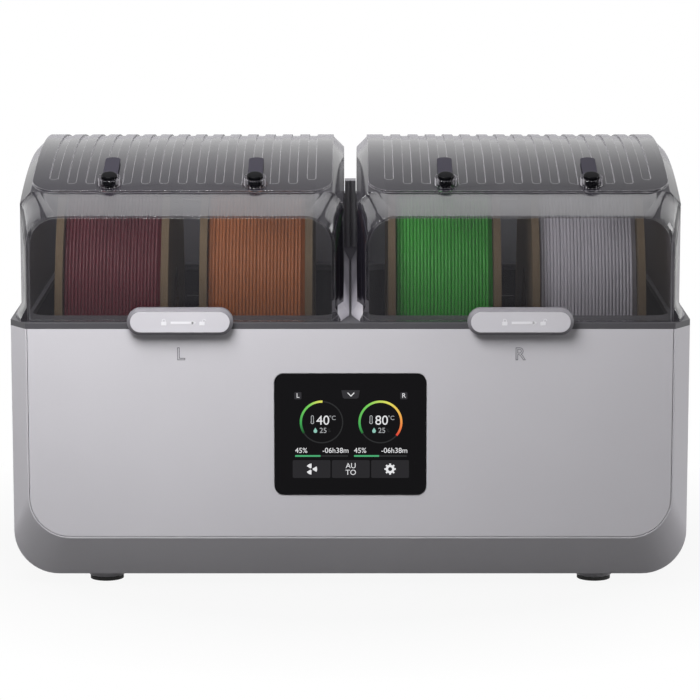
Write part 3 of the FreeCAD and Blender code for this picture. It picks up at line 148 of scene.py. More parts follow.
def mouldedFinish(name, ownLook):
    look = {**mouldedBase, "fleck": ownLook["light"], **ownLook}
    finish, wire = startFinish(name)
    place = wire.make("TexCoord", None, None, "Object")
    if "stretch" in look:
        place = wire.make("Mapping", None, {"Vector": place, "Scale": look["stretch"]})
    grain = wire.make(
        "TexNoise",
        None,
        {
            "Vector": place,
            "Scale": look["grain"],
            "Detail": look["grainDetail"],
            "Roughness": look["grainRough"],
        },
    )
    drift = wire.make("TexNoise", None,
                      {"Vector": place, "Scale": look["drift"], "Detail": look["driftDetail"]})
    colour = wire.blend(drift, look["dark"], look["light"])
    fleck = wire.make("Math", {"operation": "SUBTRACT", "use_clamp": True}, {0: grain, 1: look["fleckFrom"]})
    colour = wire.blend(fleck * look["fleckAmount"], colour, look["fleck"])
    # painted shade: faces that turn away from the front take the darker rim colour
    if "rim" in look:
        forward = 0.0 - apart(wire, wire.make("TexCoord", None, None, "Normal"))[1]
        flat = wire.make(
            "Math",
            {"operation": "MULTIPLY", "use_clamp": True},
            {0: forward - look["rimFrom"], 1: look["rimSlope"]},
        )
        colour = wire.blend(flat, look["rim"], colour)
    edge = wire.make("Bevel", {"samples": look["edgeSamples"]}, {"Radius": look["edge"]})
    bump = wire.make(
        "Bump",
        None,
        {"Strength": look["bump"], "Distance": look["depth"], "Height": grain, "Normal": edge},
    )
    surface = wire.make(
        "BsdfPrincipled",
        None,
        {
            "Base Color": colour,
            "Roughness": look["rough"] + (grain - 0.5) * look["roughSpread"],
            "Metallic": look["metal"],
            "Specular IOR Level": look["gloss"],
            "Normal": bump,
        },
    )
    endFinish(wire, surface)
    return finish


# outlet ports, the same distance left and right of the middle
portLook = {"across": (0.0563, 0.1423), "spot": (-0.1003, 0.2412), "boss": 0.0084, "head": 0.0066}


def fromPort(wire, place):
    across, deep, high = apart(wire, place)
    level = (deep - portLook["spot"][0]) ** 2.0 + (high - portLook["spot"][1]) ** 2.0
    reach = [((wire.calc("ABSOLUTE", across) - x) ** 2.0 + level) ** 0.5 for x in portLook["across"]]
    return wire.calc("MINIMUM", *reach)


# light caught in clear plastic: thin lines on its edges, the ports' collars and the feet beside the gap
def catchLight(wire, place, edge, look):
    across, _, high = apart(wire, place)
    sideways = wire.calc("ABSOLUTE", apart(wire, wire.make("TexCoord", None, None, "Normal"))[0])
    flat = wire.make("NewGeometry", None, None, "Normal")
    bend = wire.make("VectorMath", {"operation": "DOT_PRODUCT"}, {0: edge, 1: flat}, 1)
    line = clamped(wire, 1.0 - bend, *look["lineBend"]) * look["lineCover"]
    boss = clamped(wire, fromPort(wire, place), portLook["boss"], portLook["boss"] - look["fade"])
    collar = boss * clamped(wire, sideways, *look["collarSides"]) * look["collarCover"]
    strip = clamped(wire, wire.calc("ABSOLUTE", across), look["gap"], look["gap"] - look["fade"])
    strip = strip * clamped(wire, high, look["footTop"], look["footTop"] - look["fade"])
    strip = strip * clamped(wire, sideways, *look["stripSides"])
    glint = wire.calc("MAXIMUM", wire.calc("MAXIMUM", line, collar), strip * look["stripCover"])
    return glint, boss, strip


# smoky clear plastic: nearly open face on, glossy and closed at a slant
def clearFinish(name, look):
    finish, wire = startFinish(name)
    place = wire.make("TexCoord", None, None, "Object")
    edge = wire.make("Bevel", {"samples": look["edgeSamples"]}, {"Radius": look["edge"]})
    glint, boss, strip = catchLight(wire, place, edge, look)
    cloud = wire.make("TexNoise", None,
                      {"Vector": place, "Scale": look["cloud"], "Detail": look["cloudDetail"]})
    colour = wire.blend(glint, wire.blend(cloud, look["dark"], look["light"]), look["glint"])
    slant = wire.make("LayerWeight", None, {"Blend": 0.5}, "Facing")
    cover = wire.calc("MINIMUM", look["cover"] + slant * look["slantCover"], look["most"])
    cover = wire.calc("MAXIMUM", cover * (1.0 - boss * look["bossClear"]), glint)
    shadow = wire.make("LightPath", None, None, "Is Shadow Ray")
    cover = cover * (1.0 - shadow * look["lightThrough"])
    wave = wire.make("TexNoise", None, {"Vector": place, "Scale": look["wave"], "Detail": look["waveDetail"]})
    bump = wire.make(
        "Bump",
        None,
        {"Strength": look["bump"], "Distance": look["depth"], "Height": wave, "Normal": edge},
    )
    clear = wire.make(
        "BsdfPrincipled",
        None,
        {
            "Base Color": colour,
            "Roughness": look["rough"] + (cloud - 0.5) * look["roughSpread"],
            "IOR": look["bend"],
            "Alpha": cover,
            "Emission Color": wire.blend(strip, (0.0, 0.0, 0.0, 1.0), look["stripGlow"]),
            "Emission Strength": 1.0,
            "Normal": bump,
        },
    )
    rim = wire.make(
        "BsdfPrincipled",
        None,
        {"Base Color": look["rim"], "Roughness": look["rimRough"], "Specular IOR Level": look["rimGloss"]},
    )
    turnedAway = clamped(wire, slant, *look["rimSlant"]) * look["rimCover"]
    endFinish(wire, wire.make("MixShader", None, {0: turnedAway, 1: clear, 2: rim}))
    finish.cycles.emission_sampling = "NONE"  # the strips are seen, but light nothing
    return finish


# soft black plugs: a glossy head on a duller strap, whose lighter grey is painted light from above on the
# same black rubber
def plugFinish(name, look):
    finish, wire = startFinish(name)
    place = wire.make("TexCoord", None, None, "Object")
    grain = wire.make("TexNoise", None,
                      {"Vector": place, "Scale": look["grain"], "Detail": look["grainDetail"]})
    head = clamped(wire, fromPort(wire, place), portLook["head"], portLook["head"] - look["fade"])
    # painted light: the strap is a lighter grey than the head
    strap = wire.blend(grain, look["strapPaintedLitDark"], look["strapPaintedLitPale"])
    edge = wire.make("Bevel", {"samples": look["edgeSamples"]}, {"Radius": look["edge"]})
    bump = wire.make(
        "Bump",
        None,
        {"Strength": look["bump"], "Distance": look["depth"], "Height": grain, "Normal": edge},
    )
    surface = wire.make(
        "BsdfPrincipled",
        None,
        {
            "Base Color": wire.blend(head, strap, look["head"]),
            "Roughness": look["rough"] - head * look["headShine"] + (grain - 0.5) * look["roughSpread"],
            "Specular IOR Level": look["gloss"],
            "Normal": bump,
        },
    )
    endFinish(wire, surface)
    return finish


# lit parts of the screen
glowLook = {"dots": 4200.0, "shade": 0.86, "base": (0.004, 0.004, 0.004, 1.0), "rough": 0.4, "gloss": 0.05}


def endGlow(wire, colour):
    surface = wire.make(
        "BsdfPrincipled",
        None,
        {
            "Base Color": glowLook["base"],
            "Roughness": glowLook["rough"],
            "Specular IOR Level": glowLook["gloss"],
            "Emission Color": colour,
            "Emission Strength": 1.0,
        },
    )
    endFinish(wire, surface)


def glowFinish(name, colour):
    finish, wire = startFinish(name)
    place = wire.make("TexCoord", None, None, "Object")
    dots = wire.make("TexNoise", None, {"Vector": place, "Scale": glowLook["dots"], "Detail": 0.0})
    shade = tuple(value * glowLook["shade"] for value in colour[:3]) + (1.0,)
    endGlow(wire, wire.blend(dots, shade, colour))
    return finish


def ringFinish(name, stops):
    finish, wire = startFinish(name)
    across, _, upward = apart(wire, wire.make("TexCoord", None, None, "Object"))
    share = wire.calc("ARCTAN2", across, upward) / (2 * math.pi) + 0.5
    endGlow(wire, wire.make("ValToRGB", {"stops": stops}, {0: share}))
    return finish


# finishes of the solids
silver = {"dark": rgb(188, 186, 191), "light": rgb(195, 193, 198), "fleck": rgb(222, 221, 226),
          "fleckAmount": 0.9, "grain": 2600.0, "rough": 0.5, "bump": 0.05, "edge": 0.0005, "gloss": 0.2}
darkGrain = {"dark": rgb(60, 59, 63), "light": rgb(68, 67, 71), "fleck": rgb(92, 92, 96), "grain": 1500.0,
             "rough": 0.5, "bump": 0.08, "gloss": 0.35}
wallLook = {"dark": rgb(108, 107, 112), "light": rgb(118, 117, 122), "fleck": rgb(138, 138, 142),
            "grain": 1500.0, "rough": 0.5, "bump": 0.08, "gloss": 0.35}
charcoal = {"dark": rgb(40, 38, 41), "light": rgb(46, 44, 47), "grain": 1100.0, "rough": 0.6, "bump": 0.06,
            "gloss": 0.3}
blackPlastic = {"dark": rgb(20, 20, 21), "light": rgb(30, 30, 31), "grain": 1300.0, "rough": 0.45}
rubberLook = {"dark": rgb(14, 14, 14), "light": rgb(27, 27, 27), "grain": 900.0, "rough": 0.78, "bump": 0.4}
# the strap's greys are painted light from above; the head keeps the rubber's black
plugLook = {"strapPaintedLitDark": rgb(38, 36, 44), "strapPaintedLitPale": rgb(49, 47, 55), "head": rgb(7, 7, 9), "grain": 800.0,
            "grainDetail": 4.0, "rough": 0.5, "roughSpread": 0.1, "headShine": 0.34, "gloss": 0.035,
            "edge": 0.0006, "edgeSamples": 4, "bump": 0.1, "depth": 0.0002, "fade": 0.0003}
# the latch's rim colour is painted shade, laid on its faces that turn away from the front
latchLook = {"dark": rgb(186, 184, 190), "light": rgb(200, 198, 203), "fleck": rgb(226, 225, 230),
             "grain": 2600.0, "rough": 0.45, "gloss": 0.25, "bump": 0.05, "rim": rgb(108, 106, 111)}
glassLook = {"dark": rgb(11, 10, 12), "light": rgb(15, 14, 17), "grain": 300.0, "rough": 0.09,
             "roughSpread": 0.03, "bump": 0.01, "gloss": 0.06}
steelLook = {"dark": rgb(150, 150, 152), "light": rgb(186, 186, 188), "grain": 500.0,
             "stretch": (1.0, 12.0, 12.0), "rough": 0.32, "metal": 1.0, "bump": 0.12}
finLook = {"dark": rgb(170, 171, 174), "light": rgb(205, 206, 208), "grain": 700.0, "rough": 0.4,
           "metal": 1.0}
boardLook = {"dark": rgb(10, 66, 40), "light": rgb(18, 92, 56), "grain": 420.0, "rough": 0.42, "bump": 0.15}
cardLook = {"dark": rgb(74, 60, 42), "light": rgb(96, 79, 56), "fleck": rgb(126, 108, 80), "fleckAmount": 1.2,
            "grain": 700.0, "stretch": (1.0, 0.5, 1.0), "rough": 0.85, "bump": 0.35, "depth": 0.0003}
rollerLook = {"dark": rgb(44, 44, 46), "light": rgb(58, 58, 60), "grain": 700.0, "rough": 0.5}
lidLook = {"dark": rgb(25, 23, 30), "light": rgb(32, 30, 37), "cloud": 30.0, "cloudDetail": 3.0,
           "wave": 9.0, "waveDetail": 1.0, "cover": 0.18, "slantCover": 1.26, "most": 0.94,
           "lightThrough": 0.6, "rough": 0.085, "roughSpread": 0.02, "bend": 1.58, "edge": 0.0006,
           "edgeSamples": 8, "bump": 0.015, "depth": 0.001, "fade": 0.0004, "glint": rgb(196, 193, 199),
           "lineBend": (0.03, 0.13), "lineCover": 0.42, "collarSides": (0.66, 0.94), "collarCover": 0.8,
           "bossClear": 0.6, "gap": 0.0076, "footTop": 0.1696, "stripSides": (0.5, 0.7), "stripCover": 0.6,
           "stripGlow": rgb(100, 98, 104), "rim": rgb(112, 110, 116), "rimSlant": (0.86, 0.9),
           "rimCover": 0.8, "rimRough": 0.4, "rimGloss": 0.1}

finishOf = {
    "silver": mouldedFinish("silver_paint", silver),
    "darkGrain": mouldedFinish("dark_grain", darkGrain),
    "wall": mouldedFinish("rear_wall_grain", wallLook),
    "charcoal": mouldedFinish("chamber_charcoal", charcoal),
    "black": mouldedFinish("black_plastic", blackPlastic),
    "rubber": mouldedFinish("rubber_black", rubberLook),
    "plug": plugFinish("plug_rubber_satin", plugLook),
    "latch": mouldedFinish("latch_silver_paint", latchLook),
    "glass": mouldedFinish("screen_black_glass", glassLook),
    "steel": mouldedFinish("ground_steel", steelLook),
    "fins": mouldedFinish("heater_aluminium", finLook),
    "board": mouldedFinish("green_board", boardLook),
    "card": mouldedFinish("spool_card", cardLook),
    "roller": mouldedFinish("roller_plastic_grey", rollerLook),
    "lid": clearFinish("smoky_clear", lidLook),
}
# the first start that a node's name has gives its finish
wearing = [
    ("lid_seal", "rubber"), ("lid_", "lid"), ("latch_", "latch"), ("outlet_plug", "plug"),
    ("base_shell", "silver"), ("front_panel", "silver"), ("foot_cups", "silver"), ("foot_pads", "rubber"),
    ("screen_glass", "glass"), ("spool_", "card"), ("roller_axles", "steel"), ("roller_brackets", "charcoal"),
    ("roller_", "roller"), ("hinge_pins", "steel"), ("cover_screws", "steel"), ("heater_", "fins"),
    ("chamber_", "charcoal"), ("floor_", "charcoal"), ("control_board", "board"), ("power_board", "board"),
    ("top_deck", "darkGrain"), ("bottom_cover", "darkGrain"), ("rear_wall", "wall"), ("", "black"),
]
for name, node in nodes.items():
    kind = next(kind for start, kind in wearing if name.startswith(start))
    node.data.materials.clear()
    node.data.materials.append(finishOf[kind])
print("finishes:", len(finishOf), "on the solids")


# flat outlines, as lists of corners in x and z
def roundRect(left, low, right, high, radius, steps=5):
    corners = [(right - radius, high - radius, 0), (left + radius, high - radius, 90),
               (left + radius, low + radius, 180), (right - radius, low + radius, 270)]
    points = []
    for x, z, start in corners:
        for step in range(steps + 1):
            angle = math.radians(start + 90 * step / steps)
            points.append((x + radius * math.cos(angle), z + radius * math.sin(angle)))
    return points


def arcBand(x, z, inner, outer, start, end, steps=48):
    bands = []
    angles = [math.radians(start + (end - start) * s / steps) for s in range(steps + 1)]
    for first, last in zip(angles, angles[1:]):
        bands.append([(x + r * math.cos(a), z + r * math.sin(a))
                      for r, a in ((inner, first), (outer, first), (outer, last), (inner, last))])
    return bands


def stroke(points, width):
    bands = []
    for (x0, z0), (x1, z1) in zip(points, points[1:]):
        length = math.hypot(x1 - x0, z1 - z0)
        dx, dz = (x1 - x0) / length * width / 2, (z1 - z0) / length * width / 2
        bands.append([(x0 - dz - dx, z0 + dx - dz), (x0 + dz - dx, z0 - dx - dz),
                      (x1 + dz + dx, z1 - dx + dz), (x1 - dz + dx, z1 + dx + dz)])
    return bands


def addPiece(name, mesh, finish, body, spot=(0.0, 0.0, 0.0)):
    piece = bpy.data.objects.new(name, mesh)
    piece.location = spot
    scene.collection.objects.link(piece)
    mesh.materials.append(finish)
    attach(piece, body)
    return piece


# thin inlay standing on a face that looks to -y
def inlay(name, outlines, finish, body, face, proud, centre=(0.0, 0.0)):
    form = bmesh.new()
    for points in outlines:
        front = [form.verts.new((x, -proud, z)) for x, z in points]
        back = [form.verts.new((x, 0.0, z)) for x, z in points]
        form.faces.new(front)
        for index in range(len(points)):
            after = (index + 1) % len(points)
            form.faces.new((front[index], back[index], back[after], front[after]))
    bmesh.ops.recalc_face_normals(form, faces=form.faces)
    mesh = bpy.data.meshes.new(name)
    form.to_mesh(mesh)
    form.free()
    return addPiece(name, mesh, finish, body, (centre[0], face, centre[1]))


# figures and letters as flat meshes on the same kind of face
def figures(name, words, size, x, z, finish, body, face, proud, outline=0.0):
    curve = bpy.data.curves.new(name, "FONT")
    curve.body = words
    curve.size = size
    curve.align_x = "CENTER"
    curve.align_y = "CENTER"
    if outline:
        curve.fill_mode = "NONE"
        curve.bevel_depth = outline
        curve.bevel_resolution = 1
    else:
        curve.extrude = proud / 2
    maker = bpy.data.objects.new(name, curve)
    scene.collection.objects.link(maker)
    bpy.context.view_layer.update()
    mesh = bpy.data.meshes.new_from_object(maker.evaluated_get(bpy.context.evaluated_depsgraph_get()))
    bpy.data.objects.remove(maker)
    lift = 0.0 if outline else proud / 2
    mesh.transform(Matrix.Translation((x, face - lift, z)) @ Matrix.Rotation(math.radians(90), 4, "X"))
    mesh.materials.clear()
    mesh.name = name
    return addPiece(name, mesh, finish, body)


# lids and plugs keep their solids' outline; the band over the window is deeper, the ports stand further back,
# and the long facets of the arch are cut to follow its curve
lidForm = {"axis": (0.00715, -0.0837), "layers": (0.3392, 0.3382, 0.338, 0.335), "onArch": 0.32,
           "onLayer": 0.00002, "weld": 0.000001, "longest": 0.012, "cuts": 24, "sharp": 30,
           "band": ((-0.12385, 0.0), (-0.1161, 0.0083), (-0.1, 0.0083), (0.02, 0.0)),
           "strap": ((-0.0955, 0.0038), (-0.0579, -0.0052)), "port": (-0.10285, 0.23716),
           "portWay": (-0.324292, 0.945957), "portShift": 0.0038, "portReach": (0.0069, 0.011)}


def between(knots, value):
    if value <= knots[0][0]:
        return knots[0][1]
    for (start, low), (end, high) in zip(knots, knots[1:]):
        if value <= end:
            return low + (high - low) * (value - start) / (end - start)
    return knots[-1][1]


def reachOf(point):
    deep, high = lidForm["axis"]
    return math.hypot(point.y - deep, point.z - high)


# move a point back, and along the arch if it is there
def slide(point, shift):
    deep, high = lidForm["axis"]
    reach = reachOf(point)
    point.y += shift
    if reach > lidForm["onArch"]:
        point.z = high + math.sqrt(reach ** 2 - (point.y - deep) ** 2)


def portGap(point):
    lean, rise = lidForm["portWay"]
    off = (point.y - lidForm["port"][0]) * rise - (point.z - lidForm["port"][1]) * lean
    return min(math.hypot(abs(point.x) - across, off) for across in portLook["across"])


def lidShift(point):
    start, end = lidForm["portReach"]
    away = min(max((portGap(point) - start) / (end - start), 0.0), 1.0)
    if reachOf(point) < lidForm["onArch"]:
        away = 1.0
    return lidForm["portShift"] + (between(lidForm["band"], point.y) - lidForm["portShift"]) * away


def strapShift(point):
    return between(lidForm["strap"], point.y)


def cutArch(form, reach):
    def isLong(edge):
        first, last = edge.verts
        if abs(first.co.y - last.co.y) < lidForm["longest"]:
            return False
        return all(abs(reachOf(vert.co) - reach) < lidForm["onLayer"] for vert in edge.verts)

    long = [edge for edge in form.edges if isLong(edge)]
    made = bmesh.ops.subdivide_edges(form, edges=long, cuts=lidForm["cuts"])
    deep, high = lidForm["axis"]
    for vert in made["geom_inner"]:
        if isinstance(vert, bmesh.types.BMVert):
            out = reach / reachOf(vert.co)
            vert.co.y = deep + (vert.co.y - deep) * out
            vert.co.z = high + (vert.co.z - high) * out


def formPiece(name, node, finish, body, move, layers=()):
    form = bmesh.new()
    form.from_mesh(nodes[node].data)
    bmesh.ops.remove_doubles(form, verts=form.verts, dist=lidForm["weld"])
    for vert in form.verts:
        slide(vert.co, move(vert.co))
    for reach in layers:
        cutArch(form, reach)
    bmesh.ops.triangulate(form, faces=[face for face in form.faces if len(face.verts) > 3])
    mesh = bpy.data.meshes.new(name)
    form.to_mesh(mesh)
    form.free()
    if "custom_normal" in mesh.attributes:
        mesh.attributes.remove(mesh.attributes["custom_normal"])
    mesh.polygons.foreach_set("use_smooth", [True] * len(mesh.polygons))
    mesh.set_sharp_from_angle(angle=math.radians(lidForm["sharp"]))
    piece = addPiece(name, mesh, finish, body)
    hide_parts(node)


for side in ("left", "right"):
    formPiece(f"clear_lid_{side}", f"lid_{side}", finishOf["lid"], f"{side}_lid", lidShift,
              lidForm["layers"])
for index in range(1, 5):
    formPiece(f"soft_plug_{index}", f"outlet_plug_{index}", finishOf["plug"], f"plug_{index}",
              strapShift)
print("lids and plugs formed")


# wound filament: one long strand in touching turns over a solid core
windLook = {"turns": 28, "outer": 0.0930, "inner": 0.0404, "room": 0.0578, "steps": 72, "sides": 8,
            "fill": 0.495, "wander": 0.00012, "lift": 0.00016, "waves": 6, "rate": (0.3, 2.3),
            "start": (0, 6.28), "swing": (0.4, 1.0), "calm": 3, "hoops": 96, "coreDrop": 0.3, "seed": 40}
strandCommon = {"grain": 900.0, "rough": 0.46, "gloss": 0.3, "bump": 0.02}
strandLooks = {
    1: {"dark": rgb(72, 16, 27), "light": rgb(84, 22, 33)},
    2: {"dark": rgb(130, 72, 34), "light": rgb(146, 84, 44)},
    3: {"dark": rgb(33, 122, 31), "light": rgb(44, 138, 40)},
    4: {"dark": rgb(152, 148, 156), "light": rgb(166, 162, 170)},
}


def bridge(form, rings):
    for first, last in zip(rings, rings[1:]):
        for side in range(len(first)):
            after = (side + 1) % len(first)
            form.faces.new((first[side], first[after], last[after], last[side]))


def windStrand(form, pitch, strand, reach, dice):
    look = windLook
    waves = [(dice.uniform(*look["rate"]), dice.uniform(*look["start"]), dice.uniform(*look["swing"]))
             for _ in range(look["waves"])]
    rings = []
    for step in range((look["turns"] - 1) * look["steps"] + 1):
        turn = step / look["steps"]
        angle = 2 * math.pi * turn
        sway = sum(swing * math.sin(rate * angle + start) for rate, start, swing in waves) / look["calm"]
        along = (turn + 0.5) * pitch - look["room"] / 2 + sway * look["wander"]
        radius = reach + sway * look["lift"]
        ring = []
        for side in range(look["sides"]):
            lean = 2 * math.pi * side / look["sides"]
            out = radius + strand * math.cos(lean)
            x = along + strand * math.sin(lean)
            ring.append(form.verts.new((x, -out * math.cos(angle), out * math.sin(angle))))
        rings.append(ring)
    bridge(form, rings)
    form.faces.new(list(reversed(rings[0])))
    form.faces.new(rings[-1])


def turnCore(form, outer):
    half, inner = windLook["room"] / 2, windLook["inner"]
    profile = [(-half, inner), (half, inner), (half, outer), (-half, outer)]
    hoops = []
    for step in range(windLook["hoops"]):
        angle = 2 * math.pi * step / windLook["hoops"]
        hoops.append([form.verts.new((x, -r * math.cos(angle), r * math.sin(angle))) for x, r in profile])
    bridge(form, hoops + hoops[:1])


def windFilament(index):
    low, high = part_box(f"spool_{index}")
    centre = (Vector(low) + Vector(high)) / 2
    pitch = windLook["room"] / windLook["turns"]
    strand = pitch * windLook["fill"]
    reach = windLook["outer"] - strand
    form = bmesh.new()
    windStrand(form, pitch, strand, reach, random.Random(windLook["seed"] + index))
    turnCore(form, reach - strand * windLook["coreDrop"])
    bmesh.ops.recalc_face_normals(form, faces=form.faces)
    mesh = bpy.data.meshes.new(f"wound_filament_{index}")
    form.to_mesh(mesh)
    form.free()
    mesh.polygons.foreach_set("use_smooth", [True] * len(mesh.polygons))
    mesh.transform(Matrix.Translation(centre))
    finish = mouldedFinish(f"filament_{index}_strand", {**strandCommon, **strandLooks[index]})
    piece = addPiece(f"wound_filament_{index}", mesh, finish, f"spool_{index}_body")
    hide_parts(f"filament_turns_{index}", f"filament_core_{index}")


for index in range(1, 5):
    windFilament(index)
print("filament wound on 4 spools")


# the touch screen's picture, drawn in pixels of the front view
screenLook = {"pixel": 0.000585, "centre": (350.0, 434.0), "stretch": 1.014, "proud": 0.00004, "letter": 1.4}
glowOf = {
    "white": glowFinish("screen_white", rgb(236, 236, 238)),
    "pale": glowFinish("screen_pale", rgb(176, 178, 180)),
    "grey": glowFinish("screen_grey", rgb(48, 47, 51)),
    "button": glowFinish("screen_button", rgb(38, 37, 40)),
    "dim": glowFinish("screen_dim", rgb(40, 41, 42)),
    "green": glowFinish("screen_green", rgb(76, 176, 118)),
    "teal": glowFinish("screen_teal", rgb(150, 205, 190)),
}
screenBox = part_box("screen_glass")


def onScreen(px, py):
    middle = (screenBox[0][2] + screenBox[1][2]) / 2
    across, level = screenLook["centre"]
    pixel = screenLook["pixel"]
    return (px - across) * pixel, middle - (py - level) * pixel * screenLook["stretch"]


def screenRect(left, top, right, bottom, radius):
    x0, z1 = onScreen(left, top)
    x1, z0 = onScreen(right, bottom)
    return roundRect(x0, z0, x1, z1, radius * screenLook["pixel"])


def screenArc(px, py, radii, start, end, steps):
    inner, outer = [radius * screenLook["pixel"] for radius in radii]
    return arcBand(*onScreen(px, py), inner, outer, start, end, steps)


def screenLine(points, width):
    return stroke([onScreen(*point) for point in points], width * screenLook["pixel"])


def drawOn(name, outlines, colour, lift=1):
    inlay(f"screen_{name}", outlines, glowOf[colour], "dryer", screenBox[0][1], screenLook["proud"] * lift)


def writeOn(name, words, px, py, height, colour="white"):
    x, z = onScreen(px, py)
    size = height * screenLook["pixel"] * screenLook["letter"]
    figures(f"screen_{name}", words, size, x, z, glowOf[colour], "dryer", screenBox[0][1],
            screenLook["proud"] * 2)


buttonPlan = {"lefts": (292, 331.5, 371), "width": 38, "top": 460, "bottom": 478, "round": 1.5}
badgePlan = {"lefts": (293.8, 400), "top": 391.5, "size": 7.2, "round": 1.2, "letter": 4.8}
tabPlan = {"outline": ((341, 389.6), (342.4, 396.8), (344, 398), (356.6, 398), (358.2, 396.8),
                       (359.6, 389.6)),
           "chevron": ((347.6, 392.4), (350.6, 395.4), (353.6, 392.4)), "line": 0.9}


def drawFrames():
    low, high, width = buttonPlan["bottom"], buttonPlan["top"], buttonPlan["width"]
    drawOn("buttons", [screenRect(left, high, left + width, low, buttonPlan["round"])
                       for left in buttonPlan["lefts"]], "button")
    top, size = badgePlan["top"], badgePlan["size"]
    drawOn("badges", [screenRect(left, top, left + size, top + size, badgePlan["round"])
                      for left in badgePlan["lefts"]], "grey")
    drawOn("tab", [[onScreen(*point) for point in tabPlan["outline"]]], "grey")
    drawOn("chevron", screenLine(tabPlan["chevron"], tabPlan["line"]), "white", 2)
    for side, letter, left in zip(("left", "right"), "LR", badgePlan["lefts"]):
        writeOn(f"badge_{side}", letter, left + size / 2, top + size / 2, badgePlan["letter"])


ringPlan = {"level": 421.7, "radius": 21.0, "width": 2.2, "track": 1.3, "start": 212, "trackSteps": 72,
            "dusk": rgb(8, 30, 16), "green": rgb(64, 168, 84), "lime": rgb(120, 206, 92),
            "yellow": rgb(226, 222, 96), "orange": rgb(242, 154, 74), "red": rgb(222, 62, 52),
            "warm": ((0.15, "dusk"), (0.25, "green"), (0.4, "lime"), (0.5, "yellow")),
            "hot": ((0.13, "dusk"), (0.22, "green"), (0.4, "lime"), (0.56, "yellow"), (0.74, "orange"),
                    (0.86, "red"))}
gauges = {
    "left": {"across": 321.3, "ring": "warm", "end": 88, "warmth": "40"},
    "right": {"across": 380.2, "ring": "hot", "end": -40, "warmth": "80"},
}


# a ring's picture stands at its own centre, so that its colours turn with the angle
def drawRing(name, side, width, sweep, finish, lift, steps=48):
    middle, half = ringPlan["radius"] * screenLook["pixel"], width * screenLook["pixel"] / 2
    bands = arcBand(0, 0, middle - half, middle + half, *sweep, steps)
    centre = onScreen(gauges[side]["across"], ringPlan["level"])
    inlay(f"screen_{name}_{side}", bands, finish, "dryer", screenBox[0][1], screenLook["proud"] * lift,
          centre)


def drawRings():
    for side, gauge in gauges.items():
        stops = [(share, ringPlan[colour]) for share, colour in ringPlan[gauge["ring"]]]
        finish = ringFinish(f"screen_ring_{gauge['ring']}", stops)
        drawRing("track", side, ringPlan["track"], (360, 0), glowOf["dim"], 1, ringPlan["trackSteps"])
        drawRing("ring", side, ringPlan["width"], (ringPlan["start"], gauge["end"]), finish, 2)


# places of the words in a gauge: across from its middle, level and height
gaugeWords = {"warmth": (1.2, 420.2, 9.6), "degrees": (10.8, 417.6, 4.4), "damp": (1.4, 430.2, 5.4),
              "percent": (7.4, 430.2, 3.6)}
bulbPlan = {"across": -9.4, "ball": 421.8, "ballRadii": (1.0, 1.75), "ballSweep": (125, 415, 16),
            "top": 416.2, "topRadii": (0.75, 1.4), "topSweep": (0, 180, 8), "side": 1.08,
            "sideEnds": (416.4, 420.2), "line": 0.65}  # a sweep is its start, end and steps
dropPlan = ((-4.5, 430.3), (-4.9, 431.9), (-6.4, 432.6), (-7.9, 431.9), (-8.3, 430.3), (-6.4, 427.2))


def bulbShape(middle):
    shapes = screenArc(middle, bulbPlan["ball"], bulbPlan["ballRadii"], *bulbPlan["ballSweep"])
    shapes += screenArc(middle, bulbPlan["top"], bulbPlan["topRadii"], *bulbPlan["topSweep"])
    for edge in (-bulbPlan["side"], bulbPlan["side"]):
        shapes += screenLine([(middle + edge, level) for level in bulbPlan["sideEnds"]], bulbPlan["line"])
    return shapes


def fillGauges():
    for side, gauge in gauges.items():
        middle = gauge["across"]

        def word(part, text, colour):
            across, level, height = gaugeWords[part]
            writeOn(f"{part}_{side}", text, middle + across, level, height, colour)

        word("warmth", gauge["warmth"], "white")
        word("degrees", "°C", "pale")
        drawOn(f"bulb_{side}", bulbShape(middle + bulbPlan["across"]), "pale", 2)
        word("damp", "25", "pale")
        word("percent", "%", "dim")
        drawOn(f"drop_{side}", [[onScreen(middle + across, level) for across, level in dropPlan]], "teal", 2)


barPlan = {"words": 450.4, "letter": 5.3, "shareIn": 6.2, "timeIn": 12.4, "top": 454.9, "bottom": 456.6,
           "round": 0.4, "left": (294.5, 347.6, 320), "right": (353.7, 406.7, 379)}  # start, end, done


def drawBars():
    level, letter = barPlan["words"], barPlan["letter"]
    high, low, radius = barPlan["top"], barPlan["bottom"], barPlan["round"]
    for side in ("left", "right"):
        left, right, done = barPlan[side]
        writeOn(f"share_{side}", "45%", left + barPlan["shareIn"], level, letter)
        writeOn(f"time_{side}", "-06h38m", right - barPlan["timeIn"], level, letter)
        drawOn(f"bar_track_{side}", [screenRect(left, high, right, low, radius)], "dim")
        drawOn(f"bar_{side}", [screenRect(left, high, done, low, radius)], "green", 2)


iconPlan = {"level": 469, "fan": 311, "blades": 3, "bladeRadii": (1.2, 5.6), "bladeStart": 90,
            "bladeSweep": 58, "bladeSteps": 8, "auto": 350.5, "autoLevels": (465.8, 472.6), "letter": 5.4,
            "gear": 390, "gearRadii": (2.0, 4.4), "gearSteps": 32, "teeth": 8, "toothRadii": (4.3, 5.7),
            "toothHalf": 10, "toothSteps": 2}


